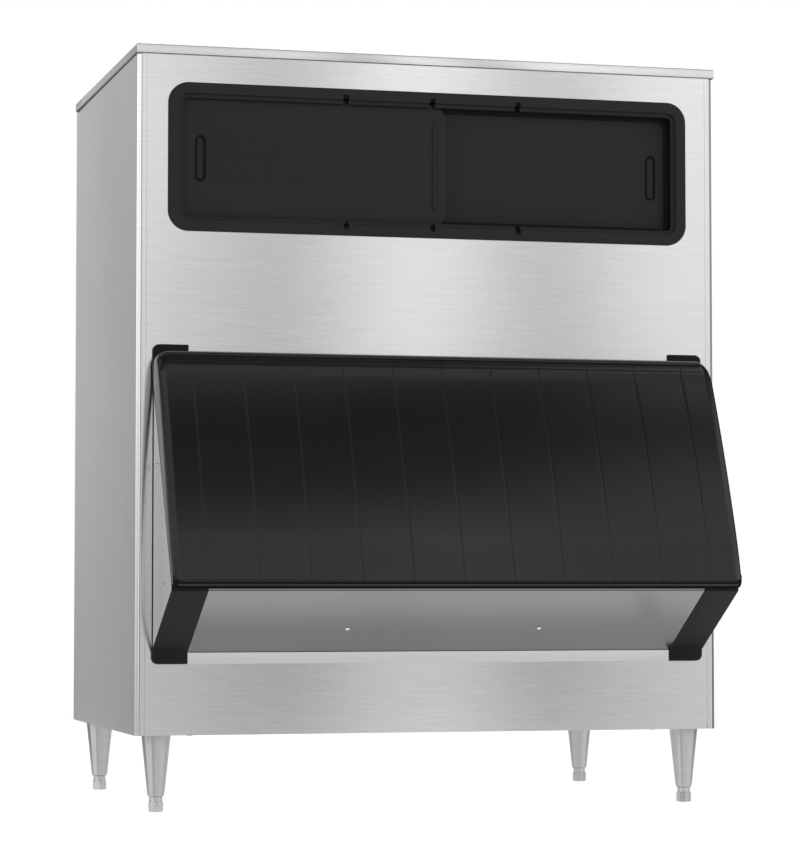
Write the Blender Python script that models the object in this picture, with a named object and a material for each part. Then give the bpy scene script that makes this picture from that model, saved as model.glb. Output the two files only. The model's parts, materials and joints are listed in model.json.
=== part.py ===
"""Free-standing ice storage bin: a stainless cabinet on four levelling legs.

Two black panels slide in a window near the top. Below it a throat stands out of
the front, closed by a moulded door that hangs from its top edge. An ice machine
stands on the open top and drops its ice into the insulated bin.

Units are metres and +Z is up. X runs across the bin, +Y to the back. The origin is
on the floor, under the middle of the whole outline. Shapes seen from the side are
drawn as (forward, height) points: forward is the distance in front of the
cabinet's front skin, and height is measured from the floor.
"""
import math

import bmesh
import bpy
from mathutils import Vector

MM = 0.001

# The cabinet as a whole
CAP_WIDTH = 1219.2 * MM
CAP_DEPTH = 787.4 * MM
CABINET_HEIGHT = 1371.6 * MM
LEG_HEIGHT = 152.4 * MM

# Clearances and overruns shared by all pieces
SEAT = 0.3 * MM
SLIDE_CLEARANCE = 0.5 * MM
OVERRUN = 5.0 * MM

# Outer skins
SHEET = 1.2 * MM
CAP_HEIGHT = 19.4 * MM
CAP_OVERHANG = 2.3 * MM
CHAMFER_ACROSS = 8.1 * MM
CHAMFER_DEEP = 8.8 * MM
FRONT_FLANGE = 18.0 * MM
REAR_FLANGE = 16.0 * MM
SEAM_GAP = 0.8 * MM
SEAM_NOTCH_HEIGHT = 11.0 * MM
SEAM_NOTCH_WIDTH = 1.6 * MM
BASE_RECESS = 8.0 * MM

# Insulated bin
INSULATION = 50.0 * MM
LINER_WALL = 3.0 * MM
DROP_SIDE_MARGIN = 33.0 * MM
DROP_END_MARGIN = 36.0 * MM

# Drain in the bin's floor
DRAIN_INSET = 130.0 * MM
DRAIN_RADIUS = 15.0 * MM
DRAIN_BORE = 10.0 * MM
DRAIN_FLANGE_RADIUS = 32.0 * MM
DRAIN_FLANGE = 2.5 * MM
DRAIN_DROP = 16.0 * MM
DRAIN_NUT_SIZE = 44.0 * MM
DRAIN_NUT_HEIGHT = 9.0 * MM
STRAINER_HEIGHT = 1.5 * MM
STRAINER_SLOT = 5.0 * MM
STRAINER_SLOT_LENGTH = 34.0 * MM

# Window with its two sliding panels
WINDOW_INSET = 61.6 * MM
WINDOW_HEIGHT_SHARE = 0.5173
WINDOW_DROP_SHARE = 0.0944
WINDOW_CORNER = 41.7 * MM
BEZEL_PROUD = 4.3 * MM
BEZEL_FLANGE = 22.4 * MM
BEZEL_EDGE = 1.4 * MM
BEZEL_STEP = 7.3 * MM
LIP_THICK = 8.0 * MM
LIP_WIDTH = 8.1 * MM
PANEL_THICK = 9.0 * MM
PANEL_ENGAGE = 8.0 * MM
RIB_THICK = 4.5 * MM
RIB_WIDTH = 7.5 * MM
TUNNEL_WALL = 4.0 * MM
PANEL_OVERLAP = 66.0 * MM
PANEL_CORNER = 34.0 * MM
TRACK_NOTCH_WIDTH = 11.0 * MM
TRACK_NOTCH_REACH = 9.3 * MM
TRACK_NOTCH_SPACING = 181.3 * MM
TRACK_NOTCH_FLOOR = 1.0 * MM
PULL_WIDTH = 21.0 * MM
PULL_HEIGHT_SHARE = 0.3086
PULL_DEPTH = 6.5 * MM
PULL_INSET = 37.0 * MM
PULL_DROPS = {"left": 1.2 * MM, "right": 6.5 * MM}
GRIP_WIDTH = 9.0 * MM
GRIP_HEIGHT_SHARE = 0.6105
GRIP_PROUD = 2.4 * MM
GRIP_INSET = 26.0 * MM

# Throat that stands out of the front
FRAME_INSET = 32.8 * MM
FRAME_HEIGHT = 631.8 * MM
FRAME_RISE = 140.4 * MM
FRAME_CORNER = 13.0 * MM
FRAME_BAR = 71.0 * MM
FRAME_THICK = 7.5 * MM
STRIP_PROUD = 1.5 * MM
EDGE_STRIP_WIDTH = 10.0 * MM
EDGE_STRIP_THICK = 2.0 * MM
THROAT_DROP = 65.6 * MM
NOSE_REACH = 213.3 * MM
NOSE_RISE = 155.2 * MM
NOSE_HEIGHT = 10.5 * MM
LIP_HEIGHT = 19.6 * MM
LIP_GAP = 1.6 * MM
LIP_PROUD = 4.0 * MM
HEADER_HEIGHT = 55.0 * MM
HEADER_RISE = 6.0 * MM
THROAT_FLOOR = 46.0 * MM
TOP_STRIP_INSET = 26.8 * MM
TOP_STRIP_RISE = 3.7 * MM

# Door
DOOR_SIDE_LAP = 1.5 * MM
DOOR_TOP_GAP = 13.5 * MM
DOOR_BACK = 17.3 * MM
DOOR_TOP_FLAT = 6.6 * MM
DOOR_CROWN = 45.1 * MM
DOOR_LAP = 18.4 * MM
DOOR_END_THICK = 18.5 * MM
DOOR_LIFT = 0.7 * MM
DOOR_BULGE = 8.0 * MM
DOOR_WALL = 3.5 * MM
DOOR_CORNER = 25.0 * MM
DOOR_CORNER_BLEND = 43.0 * MM
DOOR_EDGE = 6.5 * MM
DOOR_END_ROUND = 8.0 * MM
END_PLANK_WIDTH = 66.0 * MM
PLANK_COUNT = 12
GROOVE_WIDTH = 3.2 * MM
GROOVE_DEPTH = 1.3 * MM
DOOR_LINER = 3.0 * MM
GASKET_THICK = 5.6 * MM
GASKET_WIDTH = 14.0 * MM
GASKET_INSET = 19.0 * MM
GASKET_MARGIN = 1.6 * MM

# Door hinges, one behind each top corner
HINGE_FORWARD = 32.0 * MM
HINGE_BELOW_TOP = 19.0 * MM
HINGE_FROM_END = 15.0 * MM
EAR_THICK = 10.0 * MM
EAR_RADIUS = 9.0 * MM
EAR_NECK_ABOVE = 4.0 * MM
EAR_NECK_BELOW = 14.0 * MM
EAR_CLEARANCE = 1.3 * MM
PIN_RADIUS = 4.0 * MM
BLOCK_THICK = 14.0 * MM
BLOCK_ABOVE = 9.5 * MM
BLOCK_BELOW = 15.0 * MM
BLOCK_AHEAD = 9.5 * MM

# Legs and levelling feet
LEG_INSET_SIDE = 52.0 * MM
LEG_INSET_FRONT = 52.7 * MM
LEG_INSET_REAR = 42.1 * MM
LEG_TOP_RADIUS = 29.7 * MM
LEG_END_RADIUS = 16.5 * MM
LEG_MOUTH_RADIUS = 14.8 * MM
LEG_BORE_DEPTH = 60.0 * MM
FOOT_HEX_SIZE = 27.0 * MM
FOOT_HEX_HEIGHT = 20.5 * MM
FOOT_COLLAR_RADIUS = 13.2 * MM
FOOT_COLLAR_HEIGHT = 10.2 * MM
FOOT_CHAMFER = 1.2 * MM
STEM_RADIUS = 6.0 * MM
STEM_LENGTH = 46.0 * MM
LEG_PLATE_THICK = 3.0 * MM
LEG_PLATE_INBOARD = 92.0 * MM
LEG_PLATE_HALF_DEPTH = 36.0 * MM
BASE_BOLT_OFFSET = 68.0 * MM
BASE_BOLT_RADIUS = 6.5 * MM
BASE_BOLT_HEIGHT = 9.0 * MM

# Screws on the throat
SCREW_RADIUS = 4.2 * MM
SCREW_HEIGHT = 1.8 * MM
CHEEK_SCREW_FORWARD = 46.3 * MM
CHEEK_SCREW_DROP_SHARE = 0.4258
CHEEK_SCREW_LOW_FORWARD = 111.3 * MM
TROUGH_SCREW_HALF_SPACING = 198.0 * MM
TROUGH_SCREW_FORWARD = 83.6 * MM

# Fineness of round shapes
FULL_ROUND_SHARE = 0.98
FILLET_FIT_SHARE = 0.9
SCREW_HEAD_SHARES = ((0, 0), (1, 0), (1, 0.35), (0.7, 0.85), (0, 1))
SMOOTH_ANGLE = math.radians(32)
MERGE = 0.01 * MM
ARC_STEPS = 5
DOOR_FRONT_STEPS = 10
CROWN_TRIALS = 12
DOOR_CORNER_STEPS = 6
TURNED_SIDES = 24
SCREW_SIDES = 12

COLORS = {
    "stainless": ((0.62, 0.62, 0.62), 0.32, 1.0),
    "leg_steel": ((0.58, 0.58, 0.58), 0.35, 1.0),
    "zinc_steel": ((0.45, 0.45, 0.46), 0.45, 1.0),
    "black_plastic": ((0.025, 0.025, 0.026), 0.45, 0.0),
    "liner_plastic": ((0.82, 0.83, 0.82), 0.4, 0.0),
    "foam": ((0.86, 0.80, 0.58), 0.9, 0.0),
    "gasket_rubber": ((0.03, 0.03, 0.03), 0.7, 0.0),
    "drain_plastic": ((0.75, 0.75, 0.73), 0.5, 0.0),
}


def clear_scene():
    """Remove every object that the open file holds."""
    for item in list(bpy.data.objects):
        bpy.data.objects.remove(item, do_unlink=True)


def make_material(name):
    """Principled material with the colour, roughness and metallic value of its entry."""
    color, roughness, metallic = COLORS[name]
    material = bpy.data.materials.new(name)
    material.use_nodes = True
    shader = material.node_tree.nodes["Principled BSDF"]
    shader.inputs["Base Color"].default_value = (*color, 1.0)
    shader.inputs["Roughness"].default_value = roughness
    shader.inputs["Metallic"].default_value = metallic
    return material


# Flat geometry


def crossing(point, direction, other, other_direction):
    """Where two lines in a plane cross."""
    scale = direction.cross(other_direction)
    return point + direction * ((other - point).cross(other_direction) / scale)


def left_of(direction):
    """Unit vector a quarter turn to the left of a direction."""
    return Vector((-direction.y, direction.x)).normalized()


def shifted_path(points, distances):
    """An open path whose stretches move to their left by the given distances."""
    points = [Vector(p) for p in points]
    runs = [b - a for a, b in zip(points, points[1:])]
    starts = [a + left_of(run) * d for a, run, d in zip(points, runs, distances)]
    moved = [starts[0]]
    for i in range(1, len(runs)):
        moved.append(crossing(starts[i - 1], runs[i - 1], starts[i], runs[i]))
    moved.append(starts[-1] + runs[-1])
    return moved


def shifted_outline(points, distances):
    """A closed outline whose sides move inwards by the given distances."""
    points = [Vector(p) for p in points]
    count = len(points)
    area = sum(points[i].cross(points[(i + 1) % count]) for i in range(count))
    side = math.copysign(1, area)
    runs = [points[(i + 1) % count] - points[i] for i in range(count)]
    starts = [p + left_of(run) * (side * d) for p, run, d in zip(points, runs, distances)]
    return [crossing(starts[i - 1], runs[i - 1], starts[i], runs[i]) for i in range(count)]


def rounded(corners, radii, steps=ARC_STEPS):
    """A closed outline with each corner turned into an arc of its radius."""
    outline = []
    count = len(corners)
    for i, radius in enumerate(radii):
        corner = Vector(corners[i])
        if radius <= 0:
            outline.append(corner)
            continue
        back = (Vector(corners[i - 1]) - corner).normalized()
        ahead = (Vector(corners[(i + 1) % count]) - corner).normalized()
        half = back.angle(ahead) / 2
        centre = corner + (back + ahead).normalized() * (radius / math.sin(half))
        first = corner + back * (radius / math.tan(half)) - centre
        last = corner + ahead * (radius / math.tan(half)) - centre
        turn = math.pi - 2 * half
        for k in range(steps + 1):
            share = k / steps
            blend = first * math.sin((1 - share) * turn) + last * math.sin(share * turn)
            outline.append(centre + blend / math.sin(turn))
    return outline


def rectangle(x0, x1, y0, y1):
    """Corners of a rectangle, turning left."""
    return [(x0, y0), (x1, y0), (x1, y1), (x0, y1)]


def rounded_rectangle(x0, x1, y0, y1, radius):
    """Outline of a rectangle with four equal round corners."""
    return rounded(rectangle(x0, x1, y0, y1), [radius] * 4)


# Places worked out from the sizes above

HALF_WIDTH = CAP_WIDTH / 2 - CAP_OVERHANG
BASE_Z = LEG_HEIGHT
TOP_Z = LEG_HEIGHT + CABINET_HEIGHT
PANEL_TOP_Z = TOP_Z - SHEET - SEAT
FRAME_HALF = HALF_WIDTH - FRAME_INSET
THROAT_HALF = FRAME_HALF - FRAME_BAR
FRAME_BOTTOM_Z = BASE_Z + FRAME_RISE
FRAME_TOP_Z = FRAME_BOTTOM_Z + FRAME_HEIGHT
LIP_TOP_Z = FRAME_BOTTOM_Z + LIP_HEIGHT
SLOPE_Z = LIP_TOP_Z + LIP_GAP
THROAT_TOP_Z = FRAME_TOP_Z - THROAT_DROP
NOSE_TOP_Z = FRAME_BOTTOM_Z + NOSE_RISE
NOSE_BOTTOM_Z = NOSE_TOP_Z - NOSE_HEIGHT
HEADER_TOP_Z = THROAT_TOP_Z + HEADER_RISE
HEADER_BOTTOM_Z = THROAT_TOP_Z - HEADER_HEIGHT
DOOR_TOP_Z = FRAME_TOP_Z - DOOR_TOP_GAP
DOOR_HALF = FRAME_HALF + DOOR_SIDE_LAP
PLANK_WIDTH = 2 * (DOOR_HALF - END_PLANK_WIDTH) / (PLANK_COUNT - 2)
HINGE_Z = DOOR_TOP_Z - HINGE_BELOW_TOP

# The throat seen from the side: down the slanted front, round the nose, back along the slope
SKIN_HIGH = Vector((0, FRAME_TOP_Z))
SLANT_TOP = Vector((0, THROAT_TOP_Z))
NOSE_TOP = Vector((NOSE_REACH, NOSE_TOP_Z))
NOSE_BOTTOM = Vector((NOSE_REACH, NOSE_BOTTOM_Z))
SLOPE_BACK = Vector((0, SLOPE_Z))
SKIN_LOW = Vector((0, FRAME_BOTTOM_Z))
SLANT_RUN = (NOSE_TOP - SLANT_TOP).normalized()
SLANT_OUT = left_of(SLANT_RUN)
SLOPE_RUN = (SLOPE_BACK - NOSE_BOTTOM).normalized()
UPRIGHT = Vector((0, 1))
LEVEL = Vector((1, 0))
THROAT_OUTLINE = [SLANT_TOP, NOSE_TOP, NOSE_BOTTOM, SLOPE_BACK]
FACE_END = (NOSE_REACH - SLANT_OUT.x * FRAME_THICK) / SLANT_RUN.x
DOOR_END = FACE_END + DOOR_LAP
GASKET_END = FACE_END - GASKET_MARGIN


def slant(along, out):
    """Point a distance along the throat's slanted front and another in front of it."""
    return SLANT_TOP + SLANT_RUN * along + SLANT_OUT * out


def door_outline():
    """Side view of the door: flat back, bulging front, round crown and round lower edge.

    The front is an arc that rises DOOR_BULGE above the chord from the shoulder to
    the lower end. The crown is an arc that starts level behind the top and leans over
    until it meets the front; its lean is found by a few rounds of trial.
    """
    back_out = FRAME_THICK + DOOR_LIFT
    lower = slant(DOOR_END, back_out + DOOR_END_THICK)
    centre = Vector((DOOR_BACK + DOOR_TOP_FLAT, DOOR_TOP_Z - DOOR_CROWN))
    lean = 0
    for _ in range(CROWN_TRIALS):
        shoulder = centre + Vector((math.sin(lean), math.cos(lean))) * DOOR_CROWN
        chord = lower - shoulder
        swing = 2 * math.atan(2 * DOOR_BULGE / chord.length)
        lean = math.atan2(-chord.y, chord.x) - swing
    top = []
    for k in range(ARC_STEPS + 1):
        angle = lean * k / ARC_STEPS
        top.append(centre + Vector((math.sin(angle), math.cos(angle))) * DOOR_CROWN)
    radius = chord.length / (2 * math.sin(swing))
    middle = (shoulder + lower) / 2 - left_of(chord) * (radius * math.cos(swing))
    front = []
    for k in range(1, DOOR_FRONT_STEPS):
        angle = swing - 2 * swing * k / DOOR_FRONT_STEPS
        tilt = left_of(chord) * math.cos(angle) - chord.normalized() * math.sin(angle)
        front.append(middle + tilt * radius)
    heel = slant(DOOR_END, back_out)
    back_low = crossing(Vector((DOOR_BACK, 0)), UPRIGHT, slant(0, back_out), SLANT_RUN)
    back_high = Vector((DOOR_BACK, DOOR_TOP_Z))
    corners = [back_low, back_high, *top, *front, lower, heel]
    radii = [0] * len(corners)
    radii[1] = DOOR_TOP_FLAT * FILLET_FIT_SHARE
    radii[-2] = DOOR_END_ROUND
    return rounded(corners, radii), len(top), len(front)


DOOR_OUTLINE, CROWN_POINTS, FRONT_POINTS = door_outline()
DOOR_REACH = max(point.x for point in DOOR_OUTLINE)
SKIN_Y = DOOR_REACH - (DOOR_REACH - CAP_OVERHANG + CAP_DEPTH) / 2
BACK_Y = SKIN_Y - CAP_OVERHANG + CAP_DEPTH
REAR_SKIN_Y = BACK_Y - CAP_OVERHANG


def front_y(forward):
    """Y of a plane that lies a distance in front of the front skin."""
    return SKIN_Y - forward


# Solids


def finish_mesh(work, name, material):
    """Object from a bmesh, with its faces turned outwards and its round sides smooth."""
    bmesh.ops.recalc_face_normals(work, faces=work.faces)
    mesh = bpy.data.meshes.new(name)
    work.to_mesh(mesh)
    work.free()
    mesh.shade_smooth()
    mesh.set_sharp_from_angle(angle=SMOOTH_ANGLE)
    if material:
        mesh.materials.append(MATERIALS[material])
    item = bpy.data.objects.new(name, mesh)
    bpy.context.collection.objects.link(item)
    return item


def extrude(name, outline, plane, start, end, material=None):
    """Prism on a flat outline; plane names its two axes, and it runs along the third."""
    first = {"XY": (0, 1, 2), "XZ": (0, 2, 1), "YZ": (1, 2, 0)}[plane]
    work = bmesh.new()
    vertices = []
    for point in outline:
        place = [0, 0, 0]
        place[first[0]], place[first[1]] = point
        place[first[2]] = start
        vertices.append(work.verts.new(place))
    face = work.faces.new(vertices)
    grown = bmesh.ops.extrude_face_region(work, geom=[face])["geom"]
    shift = [0, 0, 0]
    shift[first[2]] = end - start
    moved = [part for part in grown if isinstance(part, bmesh.types.BMVert)]
    bmesh.ops.translate(work, verts=moved, vec=shift)
    return finish_mesh(work, name, material)


def side_prism(name, outline, x0, x1, material=None):
    """Prism across the bin on an outline of (forward, height) points."""
    return extrude(name, [(front_y(f), z) for f, z in outline], "YZ", x0, x1, material)


def block(name, x0, x1, y0, y1, z0, z1, material=None):
    """Plain rectangular block."""
    return extrude(name, rectangle(x0, x1, y0, y1), "XY", z0, z1, material)


def swept_rings(name, rings, material, closed):
    """Solid through rings of equally many points, closed into a loop or with flat ends."""
    work = bmesh.new()
    loops = [[work.verts.new(point) for point in ring] for ring in rings]
    following = loops[1:] + loops[:1] if closed else loops[1:]
    for here, there in zip(loops, following):
        for i in range(len(here)):
            work.faces.new((here[i - 1], here[i], there[i], there[i - 1]))
    if not closed:
        work.faces.new(loops[0])
        work.faces.new(loops[-1])
    return finish_mesh(work, name, material)


def turned(name, profile, centre, material, closed=False, sides=TURNED_SIDES):
    """Solid turned about a vertical axis at a centre (x, y).

    The profile's (radius, height) points start and end on the axis, or go round a
    closed section that stays off it.
    """
    work = bmesh.new()
    points = [work.verts.new((radius, 0, height)) for radius, height in profile]
    edges = [work.edges.new(pair) for pair in zip(points, points[1:])]
    if closed:
        edges.append(work.edges.new((points[-1], points[0])))
    bmesh.ops.spin(work, geom=points + edges, cent=(0, 0, 0), axis=(0, 0, 1),
                   angle=2 * math.pi, steps=sides, use_merge=True)
    bmesh.ops.remove_doubles(work, verts=work.verts, dist=MERGE)
    item = finish_mesh(work, name, material)
    item.location = (*centre, 0)
    return item


def polygon(radius, count, turn=0):
    """Regular outline round the origin; its first corner is turned from the first axis."""
    steps = [2 * math.pi * k / count + turn for k in range(count)]
    return [(radius * math.cos(angle), radius * math.sin(angle)) for angle in steps]


def hexagon(across_flats):
    """Hexagon with two corners in front and behind, and flats at the sides."""
    return polygon(across_flats / 2 / math.cos(math.pi / 6), 6, math.pi / 6)


def tube(name, radius, x0, x1, forward, height, material=None):
    """Plain round bar or bore cutter across the bin."""
    ring = [(forward + a, height + b) for a, b in polygon(radius, TURNED_SIDES)]
    return side_prism(name, ring, x0, x1, material)


def hang(items, name, place):
    """Parent pieces to an empty at a place on their joint's axis, without moving them."""
    empty = bpy.data.objects.new(name, None)
    empty.location = place
    bpy.context.collection.objects.link(empty)
    for item in items:
        item.parent = empty
        item.location -= empty.location


def combine(target, tool, operation="DIFFERENCE"):
    """Cut a piece with a tool, join the tool to it, or keep what they share."""
    modifier = target.modifiers.new(operation.title(), "BOOLEAN")
    modifier.operation = operation
    modifier.solver = "EXACT"
    modifier.object = tool
    tool.hide_render = True
    tool.display_type = "WIRE"


def screw(name, place, facing, radius, height, material):
    """Low domed screw head whose flat side sits SEAT in front of its place."""
    profile = [(radius * across, height * up) for across, up in SCREW_HEAD_SHARES]
    item = turned(name, profile, (0, 0), material, sides=SCREW_SIDES)
    item.location = Vector(place) + Vector(facing).normalized() * SEAT
    item.rotation_euler = Vector(facing).to_track_quat("Z", "Y").to_euler()
    return item


# Cabinet skins


def make_side_panels():
    """Side skin with its chamfered front corner, front flange and rear flange."""
    path = [
        (HALF_WIDTH - REAR_FLANGE, REAR_SKIN_Y),
        (HALF_WIDTH, REAR_SKIN_Y),
        (HALF_WIDTH, SKIN_Y + CHAMFER_DEEP),
        (HALF_WIDTH - CHAMFER_ACROSS, SKIN_Y),
        (HALF_WIDTH - FRONT_FLANGE, SKIN_Y),
    ]
    inner = shifted_path(path, [-SHEET] * (len(path) - 1))
    outline = [Vector(p) for p in path] + inner[::-1]
    for side, sign in (("left", -1), ("right", 1)):
        mirrored = [(sign * p.x, p.y) for p in outline]
        extrude(f"side_panel_{side}", mirrored, "XY", BASE_Z, PANEL_TOP_Z, "stainless")


def make_front_panel(throat_hole, window_hole):
    """Front skin between the side flanges, with its two openings and seam notches."""
    half = HALF_WIDTH - FRONT_FLANGE - SEAM_GAP
    inner = half - SEAM_NOTCH_WIDTH
    notch_z = BASE_Z + SEAM_NOTCH_HEIGHT
    outline = [
        (-inner, BASE_Z), (inner, BASE_Z), (inner, notch_z), (half, notch_z),
        (half, PANEL_TOP_Z), (-half, PANEL_TOP_Z), (-half, notch_z), (-inner, notch_z),
    ]
    panel = extrude("front_panel", outline, "XZ", SKIN_Y, SKIN_Y + SHEET, "stainless")
    combine(panel, throat_hole)
    combine(panel, window_hole)


def make_rear_panel():
    """Rear skin, inside the side panels' rear flanges."""
    half = HALF_WIDTH - SHEET - SEAT
    outer = REAR_SKIN_Y - SHEET - SEAT
    block("rear_panel", -half, half, outer - SHEET, outer, BASE_Z, PANEL_TOP_Z, "stainless")


INNER_HALF = HALF_WIDTH - SHEET - SEAT
INNER_FRONT_Y = SKIN_Y + SHEET + SEAT
INNER_REAR_Y = REAR_SKIN_Y - 2 * (SHEET + SEAT)
BASE_PAN_Z = BASE_Z + BASE_RECESS
FOAM_BOTTOM_Z = BASE_PAN_Z + SHEET + SEAT
INNER_PLAN = shifted_outline([
    (HALF_WIDTH, REAR_SKIN_Y), (-HALF_WIDTH, REAR_SKIN_Y), (-HALF_WIDTH, SKIN_Y + CHAMFER_DEEP),
    (CHAMFER_ACROSS - HALF_WIDTH, SKIN_Y), (HALF_WIDTH - CHAMFER_ACROSS, SKIN_Y),
    (HALF_WIDTH, SKIN_Y + CHAMFER_DEEP),
], [2 * (SHEET + SEAT)] + [SHEET + SEAT] * 5)


def make_base_pan():
    """Floor sheet of the cabinet, with a rim turned down inside the skins."""
    pan = extrude("base_pan", INNER_PLAN, "XY", BASE_Z, BASE_PAN_Z + SHEET, "stainless")
    inside = shifted_outline(INNER_PLAN, [SHEET] * len(INNER_PLAN))
    combine(pan, extrude("base_pan_hollow", inside, "XY", BASE_Z - OVERRUN, BASE_PAN_Z))
    combine(pan, drain_hole("base_pan_drain_hole"))


def ring_prism(name, outer, inner, z0, z1, material=None):
    """Level ring between two outlines of equally many points."""
    rings = [[(x, y, z) for x, y in outline]
             for outline, z in ((outer, z0), (outer, z1), (inner, z1), (inner, z0))]
    return swept_rings(name, rings, material, closed=True)


LINER_HALF = INNER_HALF - INSULATION
LINER_FRONT_Y = INNER_FRONT_Y + INSULATION
LINER_REAR_Y = INNER_REAR_Y - INSULATION


def drop_rectangle(grow):
    """Outline of the ice drop opening, grown all round."""
    side = LINER_HALF - LINER_WALL - DROP_SIDE_MARGIN + grow
    end = LINER_WALL + DROP_END_MARGIN - grow
    return rectangle(-side, side, LINER_FRONT_Y + end, LINER_REAR_Y - end)


def make_top_cap():
    """Folded top with a skirt over the skins and a lip round the ice drop opening."""
    half = CAP_WIDTH / 2
    front = SKIN_Y - CAP_OVERHANG
    low = TOP_Z - CAP_HEIGHT
    cap = ring_prism("top_cap", rectangle(-half, half, front, BACK_Y), drop_rectangle(0),
                     low, TOP_Z, "stainless")
    inside = rectangle(-half + SHEET, half - SHEET, front + SHEET, BACK_Y - SHEET)
    hollow = ring_prism("top_cap_hollow", inside, drop_rectangle(SHEET), low - OVERRUN, TOP_Z - SHEET)
    combine(cap, hollow)


# Insulated bin

LINER_BOTTOM_Z = FOAM_BOTTOM_Z + INSULATION
LINER_FLOOR_Z = LINER_BOTTOM_Z + LINER_WALL
DRAIN_Y = LINER_REAR_Y - DRAIN_INSET


def liner_space(grow, top):
    """Block of the bin liner's outside, grown all round and up to a height."""
    return block("liner_space", -LINER_HALF - grow, LINER_HALF + grow, LINER_FRONT_Y - grow,
                 LINER_REAR_Y + grow, LINER_BOTTOM_Z - grow, top)


def drain_hole(name):
    """Cutter for the drain pipe's way down through floor, foam and base pan."""
    low = BASE_Z - OVERRUN
    high = LINER_FLOOR_Z + OVERRUN
    radius = DRAIN_RADIUS + SEAT
    profile = [(0, low), (radius, low), (radius, high), (0, high)]
    return turned(name, profile, (0, DRAIN_Y), None)


def make_bin_liner(throat_hole, window_hole):
    """Open-topped plastic tub with a rim over the foam and a drain hole in its floor."""
    liner = block("bin_liner", -LINER_HALF, LINER_HALF, LINER_FRONT_Y, LINER_REAR_Y,
                  LINER_BOTTOM_Z, PANEL_TOP_Z, "liner_plastic")
    rim = extrude("bin_liner_rim", INNER_PLAN, "XY", PANEL_TOP_Z - LINER_WALL, PANEL_TOP_Z)
    combine(liner, rim, "UNION")
    half = LINER_HALF - LINER_WALL
    combine(liner, block("bin_liner_inside", -half, half, LINER_FRONT_Y + LINER_WALL,
                         LINER_REAR_Y - LINER_WALL, LINER_FLOOR_Z, PANEL_TOP_Z + OVERRUN))
    combine(liner, drain_hole("bin_liner_drain_hole"))
    combine(liner, throat_hole)
    combine(liner, window_hole)


def make_bin_insulation(throat_hole, window_hole):
    """Foam between the liner and the skins."""
    foam = extrude("bin_insulation", INNER_PLAN, "XY", FOAM_BOTTOM_Z,
                   PANEL_TOP_Z - LINER_WALL - SEAT, "foam")
    combine(foam, liner_space(SEAT, PANEL_TOP_Z + OVERRUN))
    combine(foam, drain_hole("foam_drain_hole"))
    combine(foam, throat_hole)
    combine(foam, window_hole)


def make_drain():
    """Drain pipe with its flange on the bin's floor, the nut under the base pan and the strainer."""
    floor = LINER_FLOOR_Z + SEAT
    low = BASE_PAN_Z - DRAIN_DROP
    top = floor + DRAIN_FLANGE
    middle = (0, DRAIN_Y)
    turned("drain_fitting", [
        (DRAIN_BORE, low), (DRAIN_RADIUS, low), (DRAIN_RADIUS, floor), (DRAIN_FLANGE_RADIUS, floor),
        (DRAIN_FLANGE_RADIUS, top), (DRAIN_BORE, top)], middle, "drain_plastic", closed=True)
    nut_top = BASE_PAN_Z - SEAT
    outline = [(x, y + DRAIN_Y) for x, y in hexagon(DRAIN_NUT_SIZE)]
    nut = extrude("drain_nut", outline, "XY", nut_top - DRAIN_NUT_HEIGHT, nut_top, "drain_plastic")
    combine(nut, drain_hole("drain_nut_hole"))
    low = top + SEAT
    strainer = turned("drain_strainer", [
        (0, low), (DRAIN_FLANGE_RADIUS, low), (DRAIN_FLANGE_RADIUS, low + STRAINER_HEIGHT),
        (0, low + STRAINER_HEIGHT)], middle, "stainless")
    half = STRAINER_SLOT_LENGTH / 2
    for k in (-1, 0, 1):
        x = 2 * k * STRAINER_SLOT
        combine(strainer, block(f"strainer_slot_{k + 2}", x - STRAINER_SLOT / 2, x + STRAINER_SLOT / 2,
                                DRAIN_Y - half, DRAIN_Y + half, low - SEAT / 2, low + 2 * STRAINER_HEIGHT))


# Window

WINDOW_WIDTH = 2 * (HALF_WIDTH - WINDOW_INSET)
WALL_TOP_Z = TOP_Z - CAP_HEIGHT
WALL_HEIGHT = WALL_TOP_Z - FRAME_TOP_Z - TOP_STRIP_RISE
WINDOW_HEIGHT = WALL_HEIGHT * WINDOW_HEIGHT_SHARE
WINDOW_MIDDLE_Z = WALL_TOP_Z - WALL_HEIGHT * WINDOW_DROP_SHARE - WINDOW_HEIGHT / 2
PULL_HEIGHT = WINDOW_HEIGHT * PULL_HEIGHT_SHARE
GRIP_HEIGHT = WINDOW_HEIGHT * GRIP_HEIGHT_SHARE
LIP_FRONT = BEZEL_PROUD - BEZEL_STEP
LIP_BACK = LIP_FRONT - LIP_THICK
FRONT_PANEL_FACE = LIP_BACK - SLIDE_CLEARANCE
RIB_FRONT = FRONT_PANEL_FACE - PANEL_THICK - SLIDE_CLEARANCE
RIB_BACK = RIB_FRONT - RIB_THICK
REAR_PANEL_FACE = RIB_BACK - SLIDE_CLEARANCE
REAR_LIP_FRONT = REAR_PANEL_FACE - PANEL_THICK - SLIDE_CLEARANCE
TUNNEL_BACK = -(SHEET + SEAT + INSULATION + LINER_WALL)
LIP_INSET = BEZEL_FLANGE + LIP_WIDTH
FRONT_TRACK_INSET = LIP_INSET - PANEL_ENGAGE
RIB_INSET = LIP_INSET + RIB_WIDTH
REAR_TRACK_INSET = RIB_INSET - PANEL_ENGAGE
REAR_LIP_INSET = RIB_INSET + TUNNEL_WALL
TUNNEL_INSET = FRONT_TRACK_INSET - TUNNEL_WALL


def window_outline(inset):
    """Round-cornered outline of the window, drawn in from the bezel's outer edge."""
    half_x = WINDOW_WIDTH / 2 - inset
    half_z = WINDOW_HEIGHT / 2 - inset
    radius = max(WINDOW_CORNER - inset, TUNNEL_WALL)
    return rounded_rectangle(-half_x, half_x, WINDOW_MIDDLE_Z - half_z, WINDOW_MIDDLE_Z + half_z, radius)


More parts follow.
